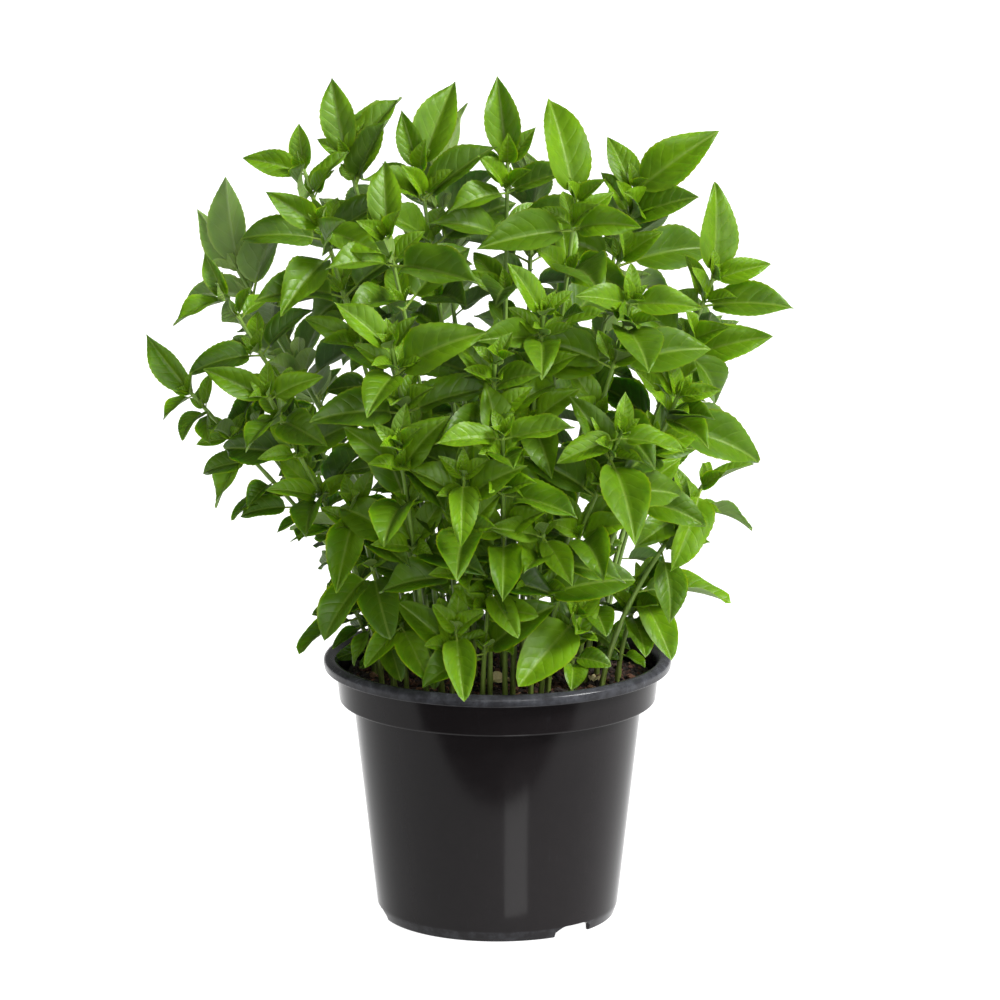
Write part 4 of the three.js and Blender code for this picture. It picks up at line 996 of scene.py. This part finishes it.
def crumb_tree(peat, bark):
    """The nodes that strew crumbs and bark chips over the potting mix's surface."""
    sizes = [(f"{title}s per square metre", "Float", count) for title, count, *_ in STREWN]
    sizes += [(f"{title} size", "Float", size * MM) for title, _, size, *_ in STREWN]
    tree, given = new_tree("strewn crumbs", (
        ("Mix", "Geometry", None), *sizes, ("Edge", "Float", 60 * MM), ("Surface", "Float", 90 * MM),
        ("Seed", "Int", None),
    ), "Strewn mix")
    split = add(tree, XYZ, add(tree, "GeometryNodeInputPosition"))
    flat = add(tree, "ShaderNodeCombineXYZ", split.outputs["X"], split.outputs["Y"])
    inside = add(tree, BELOW, add(tree, DISTANCE, flat), given["Edge"])
    on_top = add(tree, ABOVE, split.outputs["Z"], given["Surface"])
    chosen = add(tree, "FunctionNodeBooleanMath operation AND", inside, on_top)
    whole = add(tree, JOIN)
    for number, (title, _, _, low, high) in enumerate(STREWN):
        size = given[f"{title} size"]
        seed = add(tree, PLUS, given["Seed"], float(number))
        spots = add(tree, "GeometryNodeDistributePointsOnFaces", {
            "Mesh": given["Mix"], "Selection": chosen, "Seed": seed,
            "Density": given[f"{title}s per square metre"],
        })
        stone = add(tree, "GeometryNodeMeshIcoSphere", {"Radius": 1.0, "Subdivisions": 1})
        stretch = add(tree, RANDOM, {
            "Min": (low * 1.6, low, low), "Max": (high * 1.6, high, high * 0.6), "Seed": seed,
        }, data_type="FLOAT_VECTOR")
        scale = add(tree, SCALED, {0: stretch, "Scale": size})
        tumbled = add(tree, RANDOM, {"Max": (0.9, 0.9, WHOLE_TURN), "Seed": seed}, data_type="FLOAT_VECTOR")
        strewn = add(tree, AT_POINTS, {
            "Points": spots, "Instance": stone, "Rotation": tumbled, "Scale": scale,
        })
        shade = add(tree, RANDOM, {"Seed": seed}, data_type="FLOAT")
        shaded = add(tree, "GeometryNodeStoreNamedAttribute domain INSTANCE", {
            "Geometry": strewn, "Name": "shade", "Value": shade,
        })
        real = add(tree, REALIZE, shaded)
        knobbly = add(tree, NOISE, {"Scale": 900.0, "Detail": 1.0})
        centred = add(tree, MOVED_BACK, knobbly.outputs["Color"], (0.5, 0.5, 0.5))
        pushed = add(tree, SCALED, {0: centred, "Scale": size})
        uneven = add(tree, "GeometryNodeSetPosition", {"Geometry": real, "Offset": pushed})
        give(tree, whole, add(tree, MATERIAL, {"Geometry": uneven, "Material": bark}))
    give(tree, whole, add(tree, MATERIAL, {"Geometry": given["Mix"], "Material": peat}))
    add(tree, "NodeGroupOutput", add(tree, REALIZE, whole))
    return tree


def make_potting_mix():
    rings = [(SOIL_R * (1 - i / SOIL_RINGS), SOIL_TOP) for i in range(SOIL_RINGS)]
    mix = lathe("potting_mix", [Vector(p) for p in (*SOIL_PROFILE, *rings, (0, SOIL_TOP))], SOIL_SEGMENTS)
    for vertex in mix.data.vertices:
        x, y, z = vertex.co / MM
        if z > SOIL_TOP - 0.5:
            lumps = sum(high * noise.noise(Vector((x, y, depth)) * fine) for high, depth, fine in LUMPS)
            banked = BANK * max(0, math.hypot(x, y) - BANKED_FROM) / (SOIL_R - BANKED_FROM)
            vertex.co.z = (soil_height(x, y) + lumps + banked) * MM
    give_inputs(mix, crumb_tree(moist_peat(), bark_crumbs()), {"Seed": STREWN_SEED})
    make_plain([mix])
    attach(mix, "root")
    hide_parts("soil")


# The plant


def grow_basil(tree, patterns):
    pieces = []
    for index, shoot in enumerate(SHOOTS):
        name, root, tip, _, size, pairs, _ = shoot
        line = StemLine(root, tip)
        node = f"stem_{name}"
        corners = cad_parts[node].data.vertices
        tips = kdtree.KDTree(len(corners))
        for i, corner in enumerate(corners):
            tips.insert(corner.co / MM, i)
        tips.balance()
        leaves = []
        for leaf in leaves_of(shoot, index, line):
            for place in places(leaf):
                if tips.find(place["root"] + place["reach"])[2] < TIP_FOUND:
                    leaves.append(leaf_point(place))
                    break
        leaves += [leaf_point(leaf) for leaf in young_leaves(shoot, index, line)]
        piece = grow_points(f"basil_{name}", stem_points(line, size, pairs), leaves)
        give_inputs(piece, tree, patterns)
        pieces.append((piece, node))
    make_plain([piece for piece, _ in pieces])
    for piece, node in pieces:
        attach(piece, "root")
        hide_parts(node)


def lay_scraps(tree, patterns, skin):
    """The dried leaves on the soil, each let down to where its solid lies."""
    for number, (x, y), heading, long in SCRAPS:
        turn = math.radians(heading)
        point = leaf_point({
            "root": Vector((x, y, SOIL_TOP)), "up": UP, "stalk": 0.1, "pair": 4, "bend": 30, "roll": 8,
            "keys": (90, int(number)), "reach": Vector((math.cos(turn), math.sin(turn), 0)) * long,
        })
        point["wave"], point["fold"] = SCRAP_WAVE * MM, math.radians(SCRAP_FOLD)
        scrap = grow_points(f"dry_scrap_{number}", [], [point])
        give_inputs(scrap, tree, patterns)
        make_plain([scrap])
        lowest = min(vertex.co.z for vertex in scrap.data.vertices)
        scrap.data.transform(Matrix.Translation((0, 0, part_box(f"dry_leaf_{number}")[0].z - lowest)))
        scrap.data.materials.clear()
        scrap.data.materials.append(skin)
        scrap.data.polygons.foreach_set("material_index", [0] * len(scrap.data.polygons))
        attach(scrap, "root")
        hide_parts(f"dry_leaf_{number}")


# The studio


def lay_sheet(name, corners, height, material, lit):
    """A flat sheet at a height. material is its name, two tones, and how many of its marks go to a metre,
    and lit is how bright it is of its own."""
    title, low, high, marks = material
    made, tree, skin, place = new_material(title)
    marked = add(tree, NOISE, {"Vector": place, "Scale": marks})
    tone = add(tree, MIX, {"Factor": marked, MIX_A: colour(low), MIX_B: colour(high)})
    give(tree, skin, {
        "Base Color": tone, "Roughness": 0.9,
        "Emission Color": colour("#ffffff"), "Emission Strength": lit,
    })
    mesh = new_mesh(name, [(x * MM, y * MM, height * MM) for x, y in corners], [], [(0, 1, 2, 3)])
    mesh.materials.append(made)
    return placed(name, mesh)


def make_studio():
    # the photograph's ground is pure white and without a shadow
    opal = ("opal acrylic, lit from below", "#8c8c8c", "#929292", 3.0)
    floor = lay_sheet("pale_floor", FLOOR, -0.3, opal, LIT_TABLE)

    for name, strength, softness, azimuth, elevation in SUNS:
        lamp = bpy.data.lights.new(name, "SUN")
        lamp.energy, lamp.angle = strength, math.radians(softness)
        placed(name, lamp).rotation_euler = (math.radians(90 - elevation), 0, math.radians(azimuth))

    panel = bpy.data.lights.new("tall panel", "AREA")
    panel.shape, panel.energy = "RECTANGLE", PANEL_WATTS
    panel.size, panel.size_y = (side * MM for side in PANEL_SIZE)
    holder = placed("tall panel", panel)
    holder.location = PANEL_PLACE * MM
    holder.rotation_euler = (PANEL_AIM - PANEL_PLACE).to_track_quat("-Z", "Y").to_euler()

    # on the table before the pot, out of the picture, and mirrored by its glossy wall: a glowing strip that
    # widens away from it, which paints the wall's upright highlight, and a dark sheet beyond it, which paints
    # shade into the wall's reflection above the highlight
    for name, corners, material, lit in (
        ("lit_strip", STRIP, ("glowing white strip", "#f2f2f0", "#f8f8f8", 400.0), LIT_STRIP),
        ("dark_edge", DARK, ("dark sheet, painted shade", "#1b1b1c", "#262628", 400.0), 0),
    ):
        card = lay_sheet(name, corners, 0.6, material, lit)
        card.visible_camera = False

    sky = bpy.data.worlds.new("white room")
    sky.use_nodes = True
    tree = sky.node_tree
    give(tree, tree.nodes["Background"], {"Color": colour("#ffffff"), "Strength": ROOM_LIGHT})
    bpy.context.scene.world = sky
    bpy.context.scene.view_settings.view_transform = "Standard"

    lens = bpy.data.cameras.new("camera")
    lens.sensor_width = SENSOR
    lens.lens = FOCAL_PX / PICTURE_PX * SENSOR
    lens.clip_start, lens.clip_end = 0.1, 40
    camera = placed("camera", lens)
    camera.location = CAMERA_PLACE * MM
    camera.rotation_euler = (math.radians(90 - CAMERA_DOWN), 0, 0)
    bpy.context.scene.camera = camera


make_studio()
make_pot()
make_potting_mix()

blade = basil_leaf(
    "basil leaf, upper side", ("#2a4602", "#4a6c04", "#648a0c", "#7c953c", "#84a03a"),
    roughness=0.42, raised_veins=-0.4, quilting=1.2,
)
underside = basil_leaf(
    "basil leaf, lower side", ("#4c6438", "#637b44", "#7c9848", "#96a874", "#88a640"),
    roughness=0.6, raised_veins=0.9, quilting=-1.0,
)
stem_tree = leafy_stem_tree(blade, underside, basil_stem_skin())
large_leaf = leaf_pattern("large leaf", stations=26, columns=10, quilting=0.5, tooth=0.018, blunt=0)
small_leaf = leaf_pattern("small leaf", stations=9, columns=4, quilting=0, tooth=0, blunt=0)
blunt_leaf = leaf_pattern("blunt leaf", stations=16, columns=8, quilting=0.2, tooth=0.008, blunt=0.42)
patterns = {"Large leaf": large_leaf, "Small leaf": small_leaf, "Blunt leaf": blunt_leaf}
grow_basil(stem_tree, patterns)
lay_scraps(stem_tree, {kind: large_leaf for kind in LEAF_KINDS}, dried_leaf())
for pattern in patterns.values():
    bpy.data.objects.remove(pattern)
